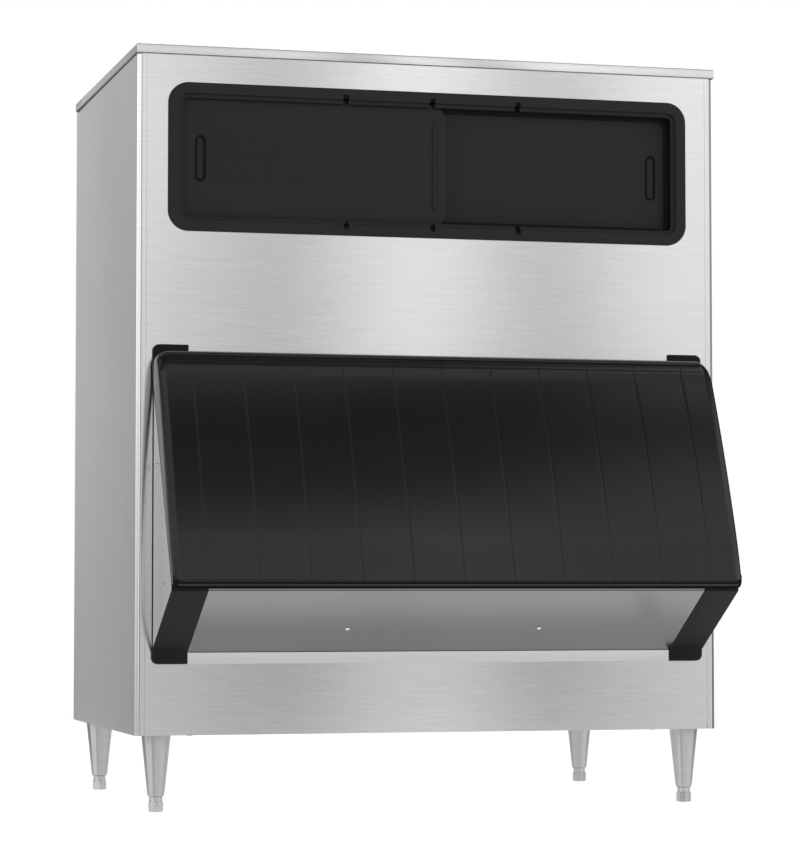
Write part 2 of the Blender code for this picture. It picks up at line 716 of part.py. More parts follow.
def make_window_hole():
    """Cutter for the window's way through the front wall."""
    return extrude("window_hole", window_outline(TUNNEL_INSET - SEAT), "XZ",
                   front_y(OVERRUN), front_y(TUNNEL_BACK - OVERRUN))


def make_window_bezel():
    """Moulded window frame: a front flange, a lip, two tracks with a rib, and a rear lip.

    The section is a list of (inset, forward) points, carried round the outline.
    """
    section = [
        (0, SEAT), (0, BEZEL_PROUD - BEZEL_EDGE), (BEZEL_EDGE, BEZEL_PROUD),
        (BEZEL_FLANGE, BEZEL_PROUD), (BEZEL_FLANGE, LIP_FRONT), (LIP_INSET, LIP_FRONT),
        (LIP_INSET, LIP_BACK), (FRONT_TRACK_INSET, LIP_BACK), (FRONT_TRACK_INSET, RIB_FRONT),
        (RIB_INSET, RIB_FRONT), (RIB_INSET, RIB_BACK), (REAR_TRACK_INSET, RIB_BACK),
        (REAR_TRACK_INSET, REAR_LIP_FRONT), (REAR_LIP_INSET, REAR_LIP_FRONT),
        (REAR_LIP_INSET, TUNNEL_BACK), (TUNNEL_INSET, TUNNEL_BACK), (TUNNEL_INSET, SEAT),
    ]
    rings = [[(x, front_y(forward), z) for x, z in window_outline(inset)] for inset, forward in section]
    bezel = swept_rings("window_bezel", rings, "black_plastic", closed=True)
    deep = FRONT_PANEL_FACE - PANEL_THICK / 2
    notch = [
        (BEZEL_FLANGE - TRACK_NOTCH_REACH, BEZEL_PROUD + OVERRUN), (BEZEL_FLANGE - TRACK_NOTCH_REACH, TRACK_NOTCH_FLOOR),
        (BEZEL_FLANGE, TRACK_NOTCH_FLOOR), (BEZEL_FLANGE + SEAT, deep), (LIP_INSET + OVERRUN, deep),
        (LIP_INSET + OVERRUN, BEZEL_PROUD + OVERRUN),
    ]
    half = TRACK_NOTCH_WIDTH / 2
    for side, sign in (("low", -1), ("high", 1)):
        outline = [(forward, WINDOW_MIDDLE_Z + sign * (WINDOW_HEIGHT / 2 - inset)) for inset, forward in notch]
        for k in (-1, 0, 1):
            x = k * TRACK_NOTCH_SPACING
            combine(bezel, side_prism(f"track_notch_{side}_{k + 2}", outline, x - half, x + half))


def make_window_slide(side, sign, face, inset):
    """Sliding window panel with a finger pull near its outer end."""
    outer = WINDOW_WIDTH / 2 - inset - SLIDE_CLEARANCE
    inner = -PANEL_OVERLAP / 2
    half_z = WINDOW_HEIGHT / 2 - inset - SLIDE_CLEARANCE
    corners = rectangle(sign * inner, sign * outer, WINDOW_MIDDLE_Z - half_z, WINDOW_MIDDLE_Z + half_z)
    tight = max(WINDOW_CORNER - inset, TUNNEL_WALL)
    outline = rounded(corners, [PANEL_CORNER, tight, tight, PANEL_CORNER])
    panel = extrude(f"window_slide_{side}", outline, "XZ", front_y(face), front_y(face - PANEL_THICK),
                    "black_plastic")
    pull_x = sign * (WINDOW_WIDTH / 2 - LIP_INSET - PULL_INSET)
    pull_z = WINDOW_MIDDLE_Z - PULL_DROPS[side]
    half_w = PULL_WIDTH / 2
    pull = rounded_rectangle(pull_x - half_w, pull_x + half_w, pull_z - PULL_HEIGHT / 2,
                             pull_z + PULL_HEIGHT / 2, half_w * FULL_ROUND_SHARE)
    combine(panel, extrude(f"window_pull_{side}", pull, "XZ", front_y(face + OVERRUN),
                           front_y(face - PULL_DEPTH)))
    return panel


def make_window():
    """Bezel and both sliding panels; the left one runs in the front track."""
    make_window_bezel()
    left = make_window_slide("left", -1, FRONT_PANEL_FACE, FRONT_TRACK_INSET)
    right = make_window_slide("right", 1, REAR_PANEL_FACE, REAR_TRACK_INSET)
    x = PANEL_OVERLAP / 2 - GRIP_INSET
    half = GRIP_WIDTH / 2
    grip = rounded_rectangle(x - half, x + half, WINDOW_MIDDLE_Z - GRIP_HEIGHT / 2,
                             WINDOW_MIDDLE_Z + GRIP_HEIGHT / 2, half * FULL_ROUND_SHARE)
    combine(left, extrude("window_grip", grip, "XZ", front_y(FRONT_PANEL_FACE + GRIP_PROUD),
                          front_y(FRONT_PANEL_FACE - PANEL_THICK / 2)), "UNION")
    for item, name, face in ((left, "front", FRONT_PANEL_FACE), (right, "rear", REAR_PANEL_FACE)):
        hang([item], f"window_track_{name}", (0, front_y(face - PANEL_THICK / 2), WINDOW_MIDDLE_Z))


# Throat


def make_side_frame(side, sign):
    """Moulded bar round one end of the throat: on the skin, down the slant, round the nose
    and back along the slope, with a thin strip up the skin and the hinge ear on its top end."""
    path = [SKIN_HIGH, SLANT_TOP, NOSE_TOP, NOSE_BOTTOM, SLOPE_BACK, SKIN_LOW]
    outer = shifted_path(path, [FRAME_THICK, FRAME_THICK, STRIP_PROUD, STRIP_PROUD, FRAME_THICK])
    inner = shifted_path(path, [SEAT, 0, -STRIP_PROUD, -STRIP_PROUD, SEAT])
    near = sign * THROAT_HALF
    bar = side_prism(f"side_frame_{side}", outer + inner[::-1], near, sign * (FRAME_HALF + OVERRUN),
                     "black_plastic")
    strip_end = FRAME_HALF + OVERRUN / 2
    combine(bar, block(f"side_frame_{side}_edge", sign * (FRAME_HALF - EDGE_STRIP_WIDTH), sign * strip_end,
                       front_y(SEAT + EDGE_STRIP_THICK), front_y(2 * SEAT), FRAME_BOTTOM_Z + FRAME_CORNER,
                       FRAME_TOP_Z - FRAME_CORNER), "UNION")
    corners = rounded_rectangle(-FRAME_HALF, FRAME_HALF, FRAME_BOTTOM_Z, FRAME_TOP_Z, FRAME_CORNER)
    reach = NOSE_REACH + FRAME_THICK + OVERRUN
    combine(bar, extrude(f"side_frame_{side}_corners", corners, "XZ", front_y(reach),
                         front_y(-OVERRUN)), "INTERSECT")
    turn = math.asin(EAR_NECK_ABOVE / EAR_RADIUS)
    root = FRAME_THICK - STRIP_PROUD
    ear = [(root, HINGE_Z - EAR_NECK_BELOW)]
    for k in range(2 * ARC_STEPS + 1):
        angle = -math.pi / 2 + (1.5 * math.pi - turn) * k / (2 * ARC_STEPS)
        ear.append((HINGE_FORWARD + EAR_RADIUS * math.cos(angle), HINGE_Z + EAR_RADIUS * math.sin(angle)))
    ear.append((root, HINGE_Z + EAR_NECK_ABOVE))
    combine(bar, side_prism(f"hinge_ear_{side}", ear, sign * EAR_NEAR, sign * EAR_FAR), "UNION")
    combine(bar, tube(f"hinge_hole_{side}", PIN_RADIUS + SEAT, sign * (EAR_NEAR - OVERRUN),
                      sign * (EAR_FAR + OVERRUN), HINGE_FORWARD, HINGE_Z))


EAR_FAR = DOOR_HALF - HINGE_FROM_END + EAR_THICK / 2
EAR_NEAR = EAR_FAR - EAR_THICK


def make_cheek(side, sign):
    """Stainless cheek plate, the foam behind it and its two screws."""
    outline = shifted_outline(THROAT_OUTLINE, [SEAT, STRIP_PROUD + SEAT, STRIP_PROUD + SEAT,
                                               EDGE_STRIP_THICK + 2 * SEAT])
    outer = FRAME_HALF - SHEET
    side_prism(f"cheek_panel_{side}", outline, sign * outer, sign * (outer - SHEET), "stainless")
    side_prism(f"cheek_insulation_{side}", outline, sign * (outer - SHEET - SEAT),
               sign * (THROAT_HALF + SEAT), "foam")
    drop = (THROAT_TOP_Z - NOSE_TOP_Z) * CHEEK_SCREW_DROP_SHARE
    places = (
        ("high", CHEEK_SCREW_FORWARD, THROAT_TOP_Z - drop),
        ("low", CHEEK_SCREW_LOW_FORWARD, NOSE_TOP_Z),
    )
    for name, forward, height in places:
        screw(f"cheek_screw_{side}_{name}", (sign * outer, front_y(forward), height),
              (sign, 0, 0), SCREW_RADIUS, SCREW_HEIGHT, "zinc_steel")


TUBE_HALF = THROAT_HALF - SEAT
TUBE_TOP_Z = HEADER_BOTTOM_Z - SEAT
FLOOR_OFFSET = THROAT_FLOOR
FLOOR_POINT = NOSE_BOTTOM - left_of(SLOPE_RUN) * FLOOR_OFFSET


def throat_section(grow, front_grow, rear):
    """Side view of the throat's inside tube, grown by a margin and cut off at the rear."""
    floor = FLOOR_POINT + left_of(SLOPE_RUN) * grow
    top = TUBE_TOP_Z + grow
    face = slant(0, FRAME_THICK + front_grow)
    high = crossing(face, SLANT_RUN, Vector((0, top)), LEVEL)
    low = crossing(face, SLANT_RUN, floor, SLOPE_RUN)
    back = crossing(Vector((rear, 0)), UPRIGHT, floor, SLOPE_RUN)
    return [Vector((rear, top)), high, low, back]


def make_throat_hole():
    """Cutter for the throat's way through skin, foam and liner."""
    half = TUBE_HALF + SEAT
    return side_prism("throat_hole", throat_section(SEAT, OVERRUN, TUNNEL_BACK - OVERRUN), -half, half)


def make_throat_liner():
    """Plastic tube from the bin to the door, with a floor that slopes up to the nose."""
    liner = side_prism("throat_liner", throat_section(0, 0, TUNNEL_BACK), -TUBE_HALF, TUBE_HALF,
                       "liner_plastic")
    half = TUBE_HALF - LINER_WALL
    inside = throat_section(-LINER_WALL, OVERRUN, TUNNEL_BACK - OVERRUN)
    combine(liner, side_prism("throat_liner_inside", inside, -half, half))


def make_throat_trims():
    """Header, top strip, lip strip, folded trough sheet and the foam under the floor."""
    half = THROAT_HALF - SEAT
    face = slant(0, FRAME_THICK)
    header = [
        Vector((SEAT, HEADER_TOP_Z)), Vector((FRAME_THICK, HEADER_TOP_Z)),
        crossing(Vector((FRAME_THICK, 0)), UPRIGHT, face, SLANT_RUN),
        crossing(face, SLANT_RUN, Vector((0, HEADER_BOTTOM_Z)), LEVEL),
        Vector((SEAT, HEADER_BOTTOM_Z)),
    ]
    side_prism("throat_header", header, -half, half, "black_plastic")
    low = HEADER_TOP_Z + SEAT
    wide = FRAME_TOP_Z + SEAT
    top = FRAME_TOP_Z + TOP_STRIP_RISE
    end = FRAME_HALF - TOP_STRIP_INSET
    strip = [
        (-half, low), (half, low), (half, wide), (end, wide), (end, top), (-end, top),
        (-end, wide), (-half, wide),
    ]
    extrude("throat_top_strip", strip, "XZ", front_y(SEAT), front_y(SEAT + SHEET), "stainless")
    block("throat_lip_strip", -half, half, front_y(LIP_PROUD), front_y(SEAT), FRAME_BOTTOM_Z,
          LIP_TOP_Z, "stainless")
    floor = FLOOR_POINT + left_of(SLOPE_RUN) * SEAT
    bend = crossing(NOSE_TOP, UPRIGHT, slant(0, FRAME_THICK), SLANT_RUN)
    end_out = crossing(slant(0, FRAME_THICK), SLANT_RUN, floor, SLOPE_RUN)
    path = [end_out, bend, NOSE_BOTTOM, crossing(Vector((SEAT, 0)), UPRIGHT, SLOPE_BACK, SLOPE_RUN)]
    inner = shifted_path(path, [-SHEET] * 3)
    inner[0] = crossing(inner[0], SLANT_RUN, floor, SLOPE_RUN)
    inner[-1] = crossing(Vector((SEAT, 0)), UPRIGHT, inner[-1], SLOPE_RUN)
    side_prism("trough_sheet", path + inner[::-1], -half, half, "stainless")
    gap = shifted_path(inner, [-SEAT] * 3)
    gap[0] = crossing(gap[0], SLANT_RUN, floor, SLOPE_RUN)
    gap[-1] = crossing(Vector((SEAT, 0)), UPRIGHT, gap[-1], SLOPE_RUN)
    foam = gap + [crossing(Vector((SEAT, 0)), UPRIGHT, floor, SLOPE_RUN)]
    side_prism("trough_insulation", foam, -half, half, "foam")
    along = (TROUGH_SCREW_FORWARD - NOSE_REACH) / SLOPE_RUN.x
    spot = NOSE_BOTTOM + SLOPE_RUN * along
    out = left_of(SLOPE_RUN)
    for side, sign in (("left", -1), ("right", 1)):
        screw(f"trough_screw_{side}", (sign * TROUGH_SCREW_HALF_SPACING, front_y(spot.x), spot.y),
              (0, -out.x, out.y), SCREW_RADIUS, SCREW_HEIGHT, "zinc_steel")


# Door


def door_stations(half, corner, edge, grooves):
    """Places across the door: (x, how far the edge rounds off, how far the corner drops, groove depth)."""
    ends = []
    for k in range(DOOR_CORNER_STEPS + 1):
        angle = math.pi / 2 * k / DOOR_CORNER_STEPS
        inward = corner * (1 - math.sin(angle))
        drop = corner * (1 - math.cos(angle))
        depth = max(edge - inward, 0)
        rounding = edge - math.sqrt(edge * edge - depth * depth)
        ends.append((half - inward, rounding, drop, 0))
    stations = [(-x, rounding, drop, depth) for x, rounding, drop, depth in ends[::-1]]
    if grooves:
        for k in range(1, PLANK_COUNT):
            x = (k - PLANK_COUNT / 2) * PLANK_WIDTH
            stations.append((x - GROOVE_WIDTH / 2, 0, 0, 0))
            stations.append((x, 0, 0, GROOVE_DEPTH))
            stations.append((x + GROOVE_WIDTH / 2, 0, 0, 0))
    return stations + ends


def door_loft(name, outline, half, corner, edge, grooves=False, material=None):
    """Door body across the bin: the side view, drawn in at its ends and along its grooves."""
    count = len(outline)
    first_top = 1 + ARC_STEPS + 1
    first_front = first_top + CROWN_POINTS
    last_front = first_front + FRONT_POINTS
    top = max(p.y for p in outline)
    low = top - DOOR_CORNER_BLEND
    rings = []
    for x, rounding, drop, groove in door_stations(half, corner, edge, grooves):
        ring = []
        for i, point in enumerate(outline):
            if i == count - 1:
                run = point - outline[i - 1]
            else:
                run = outline[(i + 1) % count] - outline[i - 1]
            share = 1.0
            if i < first_top:
                share = 0.0
            elif i < first_front:
                share = (i - first_top) / CROWN_POINTS
            elif i >= last_front:
                share = (count - 1 - i) / (count - last_front)
            inward = rounding * share
            if first_front <= i < last_front:
                inward += groove
            moved = point - left_of(run) * inward
            if moved.y > low:
                moved = Vector((moved.x, low + (moved.y - low) * (1 - drop / DOOR_CORNER_BLEND)))
            ring.append((x, front_y(moved.x), moved.y))
        rings.append(ring)
    return swept_rings(name, rings, material, closed=False)


def hinge_slot(name, sign):
    """Cutter for the slot in the door's top edge where the hinge ear swings."""
    return block(name, sign * (EAR_NEAR - EAR_CLEARANCE), sign * (EAR_FAR + EAR_CLEARANCE),
                 front_y(HINGE_FORWARD + EAR_NECK_ABOVE + 2 * EAR_CLEARANCE),
                 front_y(DOOR_BACK - OVERRUN), HINGE_Z - EAR_NECK_BELOW - 2 * EAR_CLEARANCE,
                 DOOR_TOP_Z + OVERRUN)


def make_door():
    """Moulded outer shell, foam core, inner panel, gasket and hinge blocks."""
    shell = door_loft("door_shell", DOOR_OUTLINE, DOOR_HALF, DOOR_CORNER, DOOR_EDGE,
                      grooves=True, material="black_plastic")
    count = len(DOOR_OUTLINE)
    walls = [DOOR_WALL] * (count - 1) + [-OVERRUN]
    inside = shifted_outline(DOOR_OUTLINE, walls)
    half = DOOR_HALF - DOOR_WALL
    corner = DOOR_CORNER - DOOR_WALL
    edge = DOOR_EDGE - DOOR_WALL
    combine(shell, door_loft("door_shell_inside", inside, half, corner, edge))
    liner_out = FRAME_THICK + SEAT + GASKET_THICK + SEAT
    foam_out = liner_out + DOOR_LINER + SEAT
    core_walls = [DOOR_WALL + SEAT] * (count - 1) + [foam_out - FRAME_THICK - DOOR_LIFT]
    core = door_loft("door_insulation", shifted_outline(DOOR_OUTLINE, core_walls), half - SEAT,
                     corner - SEAT, edge - SEAT, material="foam")
    top = crossing(Vector((DOOR_BACK + DOOR_WALL + SEAT, 0)), UPRIGHT, slant(0, liner_out), SLANT_RUN)
    begin = (top - slant(0, liner_out)).dot(SLANT_RUN)
    end = DOOR_END - DOOR_WALL - SEAT
    liner = [slant(begin, liner_out), slant(end, liner_out), slant(end, liner_out + DOOR_LINER),
             slant(begin, liner_out + DOOR_LINER)]
    panel = side_prism("door_liner", liner, SEAT - half, half - SEAT, "liner_plastic")
    pieces = [shell, core, panel, make_door_gasket(begin)]
    for side, sign in (("left", -1), ("right", 1)):
        combine(shell, hinge_slot(f"hinge_slot_{side}", sign))
        near = EAR_NEAR - EAR_CLEARANCE - BLOCK_THICK
        combine(core, block(f"core_relief_{side}", sign * (near - OVERRUN), sign * (DOOR_HALF + OVERRUN),
                            front_y(DOOR_REACH), front_y(0), HINGE_Z - BLOCK_BELOW - OVERRUN,
                            DOOR_TOP_Z + OVERRUN))
        outline = rectangle(DOOR_BACK + DOOR_WALL + SEAT, HINGE_FORWARD + BLOCK_AHEAD,
                            HINGE_Z - BLOCK_BELOW, HINGE_Z + BLOCK_ABOVE)
        hinge = side_prism(f"door_hinge_block_{side}", outline, sign * near,
                           sign * (near + BLOCK_THICK), "drain_plastic")
        combine(hinge, tube(f"block_bore_{side}", PIN_RADIUS + SEAT, sign * (near - OVERRUN),
                            sign * (near + BLOCK_THICK + OVERRUN), HINGE_FORWARD, HINGE_Z))
        pieces.append(hinge)
        tube(f"hinge_pin_{side}", PIN_RADIUS, sign * near, sign * EAR_FAR, HINGE_FORWARD, HINGE_Z,
             "zinc_steel")
    hang(pieces, "door_hinge_axis", (0, front_y(HINGE_FORWARD), HINGE_Z))


def make_door_gasket(begin):
    """Rubber ring on the door's inner panel, pressed on the face of the throat."""
    half = DOOR_HALF - DOOR_WALL - GASKET_INSET
    first = begin + GASKET_INSET
    rings = []
    low = FRAME_THICK + SEAT
    for inset, out in ((0, low), (0, low + GASKET_THICK), (GASKET_WIDTH, low + GASKET_THICK), (GASKET_WIDTH, low)):
        ring = []
        for x, along in rectangle(-half + inset, half - inset, first + inset, GASKET_END - inset):
            point = slant(along, out)
            ring.append((x, front_y(point.x), point.y))
        rings.append(ring)
    return swept_rings("door_gasket", rings, "gasket_rubber", closed=True)


# Legs


def make_leg(name, x, y, inboard):
    """Leg plate under the base pan, its inner bolt, the tapered leg and the levelling foot."""
    plate_top = BASE_PAN_Z - SEAT
    plate_bottom = plate_top - LEG_PLATE_THICK
    outboard = LEG_INSET_SIDE - 2 * (SHEET + SEAT) - SEAT
    x_out = x - inboard * outboard
    x_in = x + inboard * LEG_PLATE_INBOARD
    block(f"leg_plate_{name}", x_out, x_in, y - LEG_PLATE_HALF_DEPTH, y + LEG_PLATE_HALF_DEPTH,
          plate_bottom, plate_top, "zinc_steel")
    screw(f"base_bolt_{name}", (x + inboard * BASE_BOLT_OFFSET, y, plate_bottom), (0, 0, -1),
          BASE_BOLT_RADIUS, BASE_BOLT_HEIGHT, "zinc_steel")
    collar_top = FOOT_HEX_HEIGHT + FOOT_COLLAR_HEIGHT
    mouth = collar_top + SEAT
    top = plate_bottom - SEAT
    bore = STEM_RADIUS + SEAT
    shoulder = LEG_END_RADIUS - LEG_MOUTH_RADIUS
    turned(f"leg_{name}", [
        (0, mouth + LEG_BORE_DEPTH), (bore, mouth + LEG_BORE_DEPTH), (bore, mouth),
        (LEG_MOUTH_RADIUS, mouth), (LEG_END_RADIUS, mouth + shoulder),
        (LEG_TOP_RADIUS, BASE_Z), (LEG_TOP_RADIUS, top), (0, top)], (x, y), "leg_steel")
    small = FOOT_HEX_SIZE - 2 * FOOT_CHAMFER
    sections = ((small, 0), (FOOT_HEX_SIZE, FOOT_CHAMFER), (FOOT_HEX_SIZE, FOOT_HEX_HEIGHT))
    rings = [[(*corner, height) for corner in hexagon(size)] for size, height in sections]
    foot = swept_rings(f"foot_{name}", rings, "leg_steel", closed=False)
    foot.location = (x, y, 0)
    combine(foot, turned(f"foot_stem_{name}", [
        (0, FOOT_CHAMFER), (FOOT_COLLAR_RADIUS, FOOT_CHAMFER), (FOOT_COLLAR_RADIUS, collar_top),
        (STEM_RADIUS, collar_top), (STEM_RADIUS, collar_top + STEM_LENGTH),
        (0, collar_top + STEM_LENGTH)], (x, y), None), "UNION")


def make_legs():
    """Four legs, each with its plate, bolt and foot."""
    reach = HALF_WIDTH - LEG_INSET_SIDE
    front = SKIN_Y + LEG_INSET_FRONT
    rear = REAR_SKIN_Y - LEG_INSET_REAR
    for side, sign in (("left", -1), ("right", 1)):
        make_leg(f"front_{side}", sign * reach, front, -sign)
        make_leg(f"rear_{side}", sign * reach, rear, -sign)


def main():
    """Build the whole bin."""
    throat_hole = make_throat_hole()
    window_hole = make_window_hole()
    make_side_panels()
    make_front_panel(throat_hole, window_hole)
    make_rear_panel()
    make_base_pan()
    make_top_cap()
    make_bin_liner(throat_hole, window_hole)
    make_bin_insulation(throat_hole, window_hole)
    make_drain()
    make_window()
    for side, sign in (("left", -1), ("right", 1)):
        make_side_frame(side, sign)
        make_cheek(side, sign)
    make_throat_liner()
    make_throat_trims()
    make_door()
    make_legs()


clear_scene()
MATERIALS = {name: make_material(name) for name in COLORS}
main()
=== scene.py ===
"""Looks of a free-standing ice storage bin: brushed stainless skins, a black window
with two sliding panels, a throat with a bulging black door, and four levelling legs.

Shapes seen from the side are (forward, height) points: forward is the distance in
front of the cabinet's front skin. All sizes are in metres, in the frame's own axes.
"""
import json
import math

import bmesh
import bpy
import numpy as np
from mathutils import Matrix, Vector


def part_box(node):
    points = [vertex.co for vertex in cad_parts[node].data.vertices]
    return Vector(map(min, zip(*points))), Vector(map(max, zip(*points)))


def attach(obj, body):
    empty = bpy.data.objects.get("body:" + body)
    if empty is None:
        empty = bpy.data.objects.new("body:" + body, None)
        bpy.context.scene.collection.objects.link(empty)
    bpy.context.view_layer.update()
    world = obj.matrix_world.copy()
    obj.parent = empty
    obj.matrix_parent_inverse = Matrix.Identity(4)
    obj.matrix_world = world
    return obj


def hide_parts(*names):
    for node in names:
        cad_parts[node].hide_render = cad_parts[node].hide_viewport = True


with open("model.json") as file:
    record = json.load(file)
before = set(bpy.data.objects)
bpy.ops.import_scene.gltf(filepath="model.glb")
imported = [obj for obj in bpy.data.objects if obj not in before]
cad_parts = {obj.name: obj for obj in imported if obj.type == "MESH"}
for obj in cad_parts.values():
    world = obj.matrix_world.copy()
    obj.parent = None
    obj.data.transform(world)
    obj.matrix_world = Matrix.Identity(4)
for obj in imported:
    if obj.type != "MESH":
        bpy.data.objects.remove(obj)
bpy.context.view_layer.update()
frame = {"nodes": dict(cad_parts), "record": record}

MM = 0.001
SKIN_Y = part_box("front_panel")[0].y
SHARP_ANGLE = 30.0
MERGE = 0.002 * MM


# Meshes from arrays


def put_mesh(name, points, faces, angle=SHARP_ANGLE):
    """Object whose mesh has these points and faces, faces turned outwards."""
    mesh = bpy.data.meshes.new(name)
    mesh.from_pydata(np.asarray(points, float).tolist(), [], faces)
    work = bmesh.new()
    work.from_mesh(mesh)
    bmesh.ops.remove_doubles(work, verts=work.verts, dist=MERGE)
    bmesh.ops.dissolve_degenerate(work, edges=work.edges, dist=MERGE)
    bmesh.ops.recalc_face_normals(work, faces=work.faces)
    work.to_mesh(mesh)
    work.free()
    mesh.shade_smooth()
    mesh.set_sharp_from_angle(angle=math.radians(angle))
    item = bpy.data.objects.new(name, mesh)
    bpy.context.scene.collection.objects.link(item)
    return item


def loft(name, rings, closed=False, angle=SHARP_ANGLE):
    """Skin through rings of equally many points: ring i, point j joins its four neighbours.

    Closed runs the last ring back to the first; otherwise both end rings get a flat face.
    """
    rings = np.asarray(rings, float)
    count, size = rings.shape[:2]
    rows = np.arange(count if closed else count - 1)[:, None]
    cols = np.arange(size)[None, :]
    rows, after = rows * size, (rows + 1) % count * size
    beside = (cols + 1) % size
    quads = np.stack([rows + cols, rows + beside, after + beside, after + cols], -1)
    faces = quads.reshape(-1, 4).tolist()
    if not closed:
        faces.append(list(range(size)))
        faces.append(list(range((count - 1) * size, count * size)))
    return put_mesh(name, rings.reshape(-1, 3), faces, angle)


def eased(points, radii, steps=6, closed=True):
    """Outline with its corners rounded: each corner's arc is centred on the corner's
    bisector, and its points swing evenly from one tangent point to the other."""
    points = np.asarray(points, float)
    radii = np.broadcast_to(np.asarray(radii, float), len(points))
    before = np.roll(points, 1, 0) - points
    ahead = np.roll(points, -1, 0) - points
    before /= np.linalg.norm(before, axis=1)[:, None]
    ahead /= np.linalg.norm(ahead, axis=1)[:, None]
    half = np.arccos(np.clip((before * ahead).sum(1), -1, 1)) / 2
    middle = before + ahead
    middle /= np.linalg.norm(middle, axis=1)[:, None]
    centre = points + middle * (radii / np.sin(half))[:, None]
    first = points + before * (radii / np.tan(half))[:, None] - centre
    last = points + ahead * (radii / np.tan(half))[:, None] - centre
    turn = (math.pi - 2 * half)[:, None]
    share = np.linspace(0, 1, steps + 1)[None, :]
    first_part = (np.sin((1 - share) * turn) / np.sin(turn))[..., None] * first[:, None]
    last_part = (np.sin(share * turn) / np.sin(turn))[..., None] * last[:, None]
    arcs = centre[:, None] + first_part + last_part
    if closed:
        return arcs.reshape(-1, 2)
    return np.concatenate([points[:1], arcs[1:-1].reshape(-1, 2), points[-1:]])


def round_rectangles(half_x, half_y, radius, steps=10):
    """One round-cornered rectangle for each half size and radius given, centred on zero:
    four quarter circles round the corner centres, joined by straight sides."""
    half_x, half_y, radius = np.broadcast_arrays(half_x, half_y, radius)
    angles = np.linspace(0, math.pi / 2, steps + 1)[None, :] + (math.pi / 2) * np.arange(4)[:, None]
    sign_x = np.array([1, -1, -1, 1])[:, None]
    sign_y = np.array([1, 1, -1, -1])[:, None]
    x = sign_x * (half_x - radius)[:, None, None] + radius[:, None, None] * np.cos(angles)
    y = sign_y * (half_y - radius)[:, None, None] + radius[:, None, None] * np.sin(angles)
    return np.stack([x, y], -1).reshape(len(half_x), -1, 2)


def quarter_round(radius, inset):
    """How far a quarter-round edge lies back, at each distance in from the edge's end: the
    radius less the root of its square less the square of what the inset is short of it."""
    return radius - np.sqrt(np.maximum(radius ** 2 - np.maximum(radius - inset, 0) ** 2, 0))


def edge_steps(edge, steps=4):
    """Steps round a quarter-round edge: how far each lies in from the side, and how deep."""
    turn = np.linspace(0, math.pi / 2, steps + 1)
    return edge * (1 - np.sin(turn)), edge * (1 - np.cos(turn))


def carried(plan, heights):
    """Rings of points: one (x, y) plan at each of these heights."""
    return [np.column_stack([plan, np.full(len(plan), z)]) for z in heights]


def side_points(outline, x):
    """Points of a (forward, height) outline at one place across the bin."""
    outline = np.asarray(outline, float)
    return np.stack([np.full(len(outline), x), SKIN_Y - outline[:, 0], outline[:, 1]], -1)


def side_bar(name, outline, x0, x1, edge=0.0, steps=4):
    """Bar across the bin on a side-view outline; its end edges are rounded by a quarter
    circle, along which the outline draws in towards its own middle line."""
    if edge <= 0:
        return loft(name, [side_points(outline, x0), side_points(outline, x1)])
    inset, along = edge_steps(edge, steps)
    way = math.copysign(1, x1 - x0)
    rings = [side_points(drawn_in(outline, d), x0 + way * a) for d, a in zip(inset, along)]
    rings += [side_points(drawn_in(outline, d), x1 - way * a) for d, a in zip(inset[::-1], along[::-1])]
    return loft(name, rings)


def drawn_in(outline, distance):
    """Closed outline moved inwards: each point goes along the mean of its two sides' normals,
    further at a sharp corner, up to a limit."""
    outline = np.asarray(outline, float)
    if distance == 0:
        return outline
    area = np.sum(outline[:, 0] * np.roll(outline[:, 1], -1) - outline[:, 1] * np.roll(outline[:, 0], -1))
    run = np.roll(outline, -1, 0) - outline
    run /= np.maximum(np.linalg.norm(run, axis=1), 1e-12)[:, None]
    normal = np.stack([-run[:, 1], run[:, 0]], -1) * math.copysign(1, area)
    both = normal + np.roll(normal, 1, 0)
    least = 0.35
    both /= np.maximum((both * both).sum(1) / 2, least)[:, None]
    return outline + both * distance


def carve(target, cutters, joined=()):
    """Cuts closed meshes out of a piece for good, and removes them and what was joined to it."""
    for cutter in cutters:
        modifier = target.modifiers.new("cut", "BOOLEAN")
        modifier.solver = "EXACT"
        modifier.object = cutter
    graph = bpy.context.evaluated_depsgraph_get()
    mesh = bpy.data.meshes.new_from_object(target.evaluated_get(graph))
    old = target.data
    target.modifiers.clear()
    target.data = mesh
    mesh.name = target.name
    bpy.data.meshes.remove(old)
    for used in (*cutters, *joined):
        bpy.data.objects.remove(used, do_unlink=True)
    mesh.shade_smooth()
    mesh.set_sharp_from_angle(angle=math.radians(SHARP_ANGLE))
    return target


def block(x0, x1, y0, y1, z0, z1):
    """Closed block, to be cut out of a piece or joined to it."""
    plan = np.array([(x0, y0), (x1, y0), (x1, y1), (x0, y1)], float)
    return loft("block", carried(plan, (z0, z1)))


def finished(piece, body, look, slot, *nodes):
    """Gives a piece its material and the body it rides on, and hides the CAD nodes it stands for."""
    piece.data.materials.clear()
    piece.data.materials.append(look)
    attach(piece, body)
    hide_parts(*nodes)
    return piece


def second_look(piece, look, chosen):
    """A further material on the faces that a test of their middles and directions picks."""
    faces = piece.data.polygons
    middle, facing = np.empty(len(faces) * 3), np.empty(len(faces) * 3)
    faces.foreach_get("center", middle)
    faces.foreach_get("normal", facing)
    given = np.empty(len(faces), np.int32)
    faces.foreach_get("material_index", given)
    given[chosen(middle.reshape(-1, 3), facing.reshape(-1, 3))] = len(piece.data.materials)
    piece.data.materials.append(look)
    faces.foreach_set("material_index", given)


# Materials


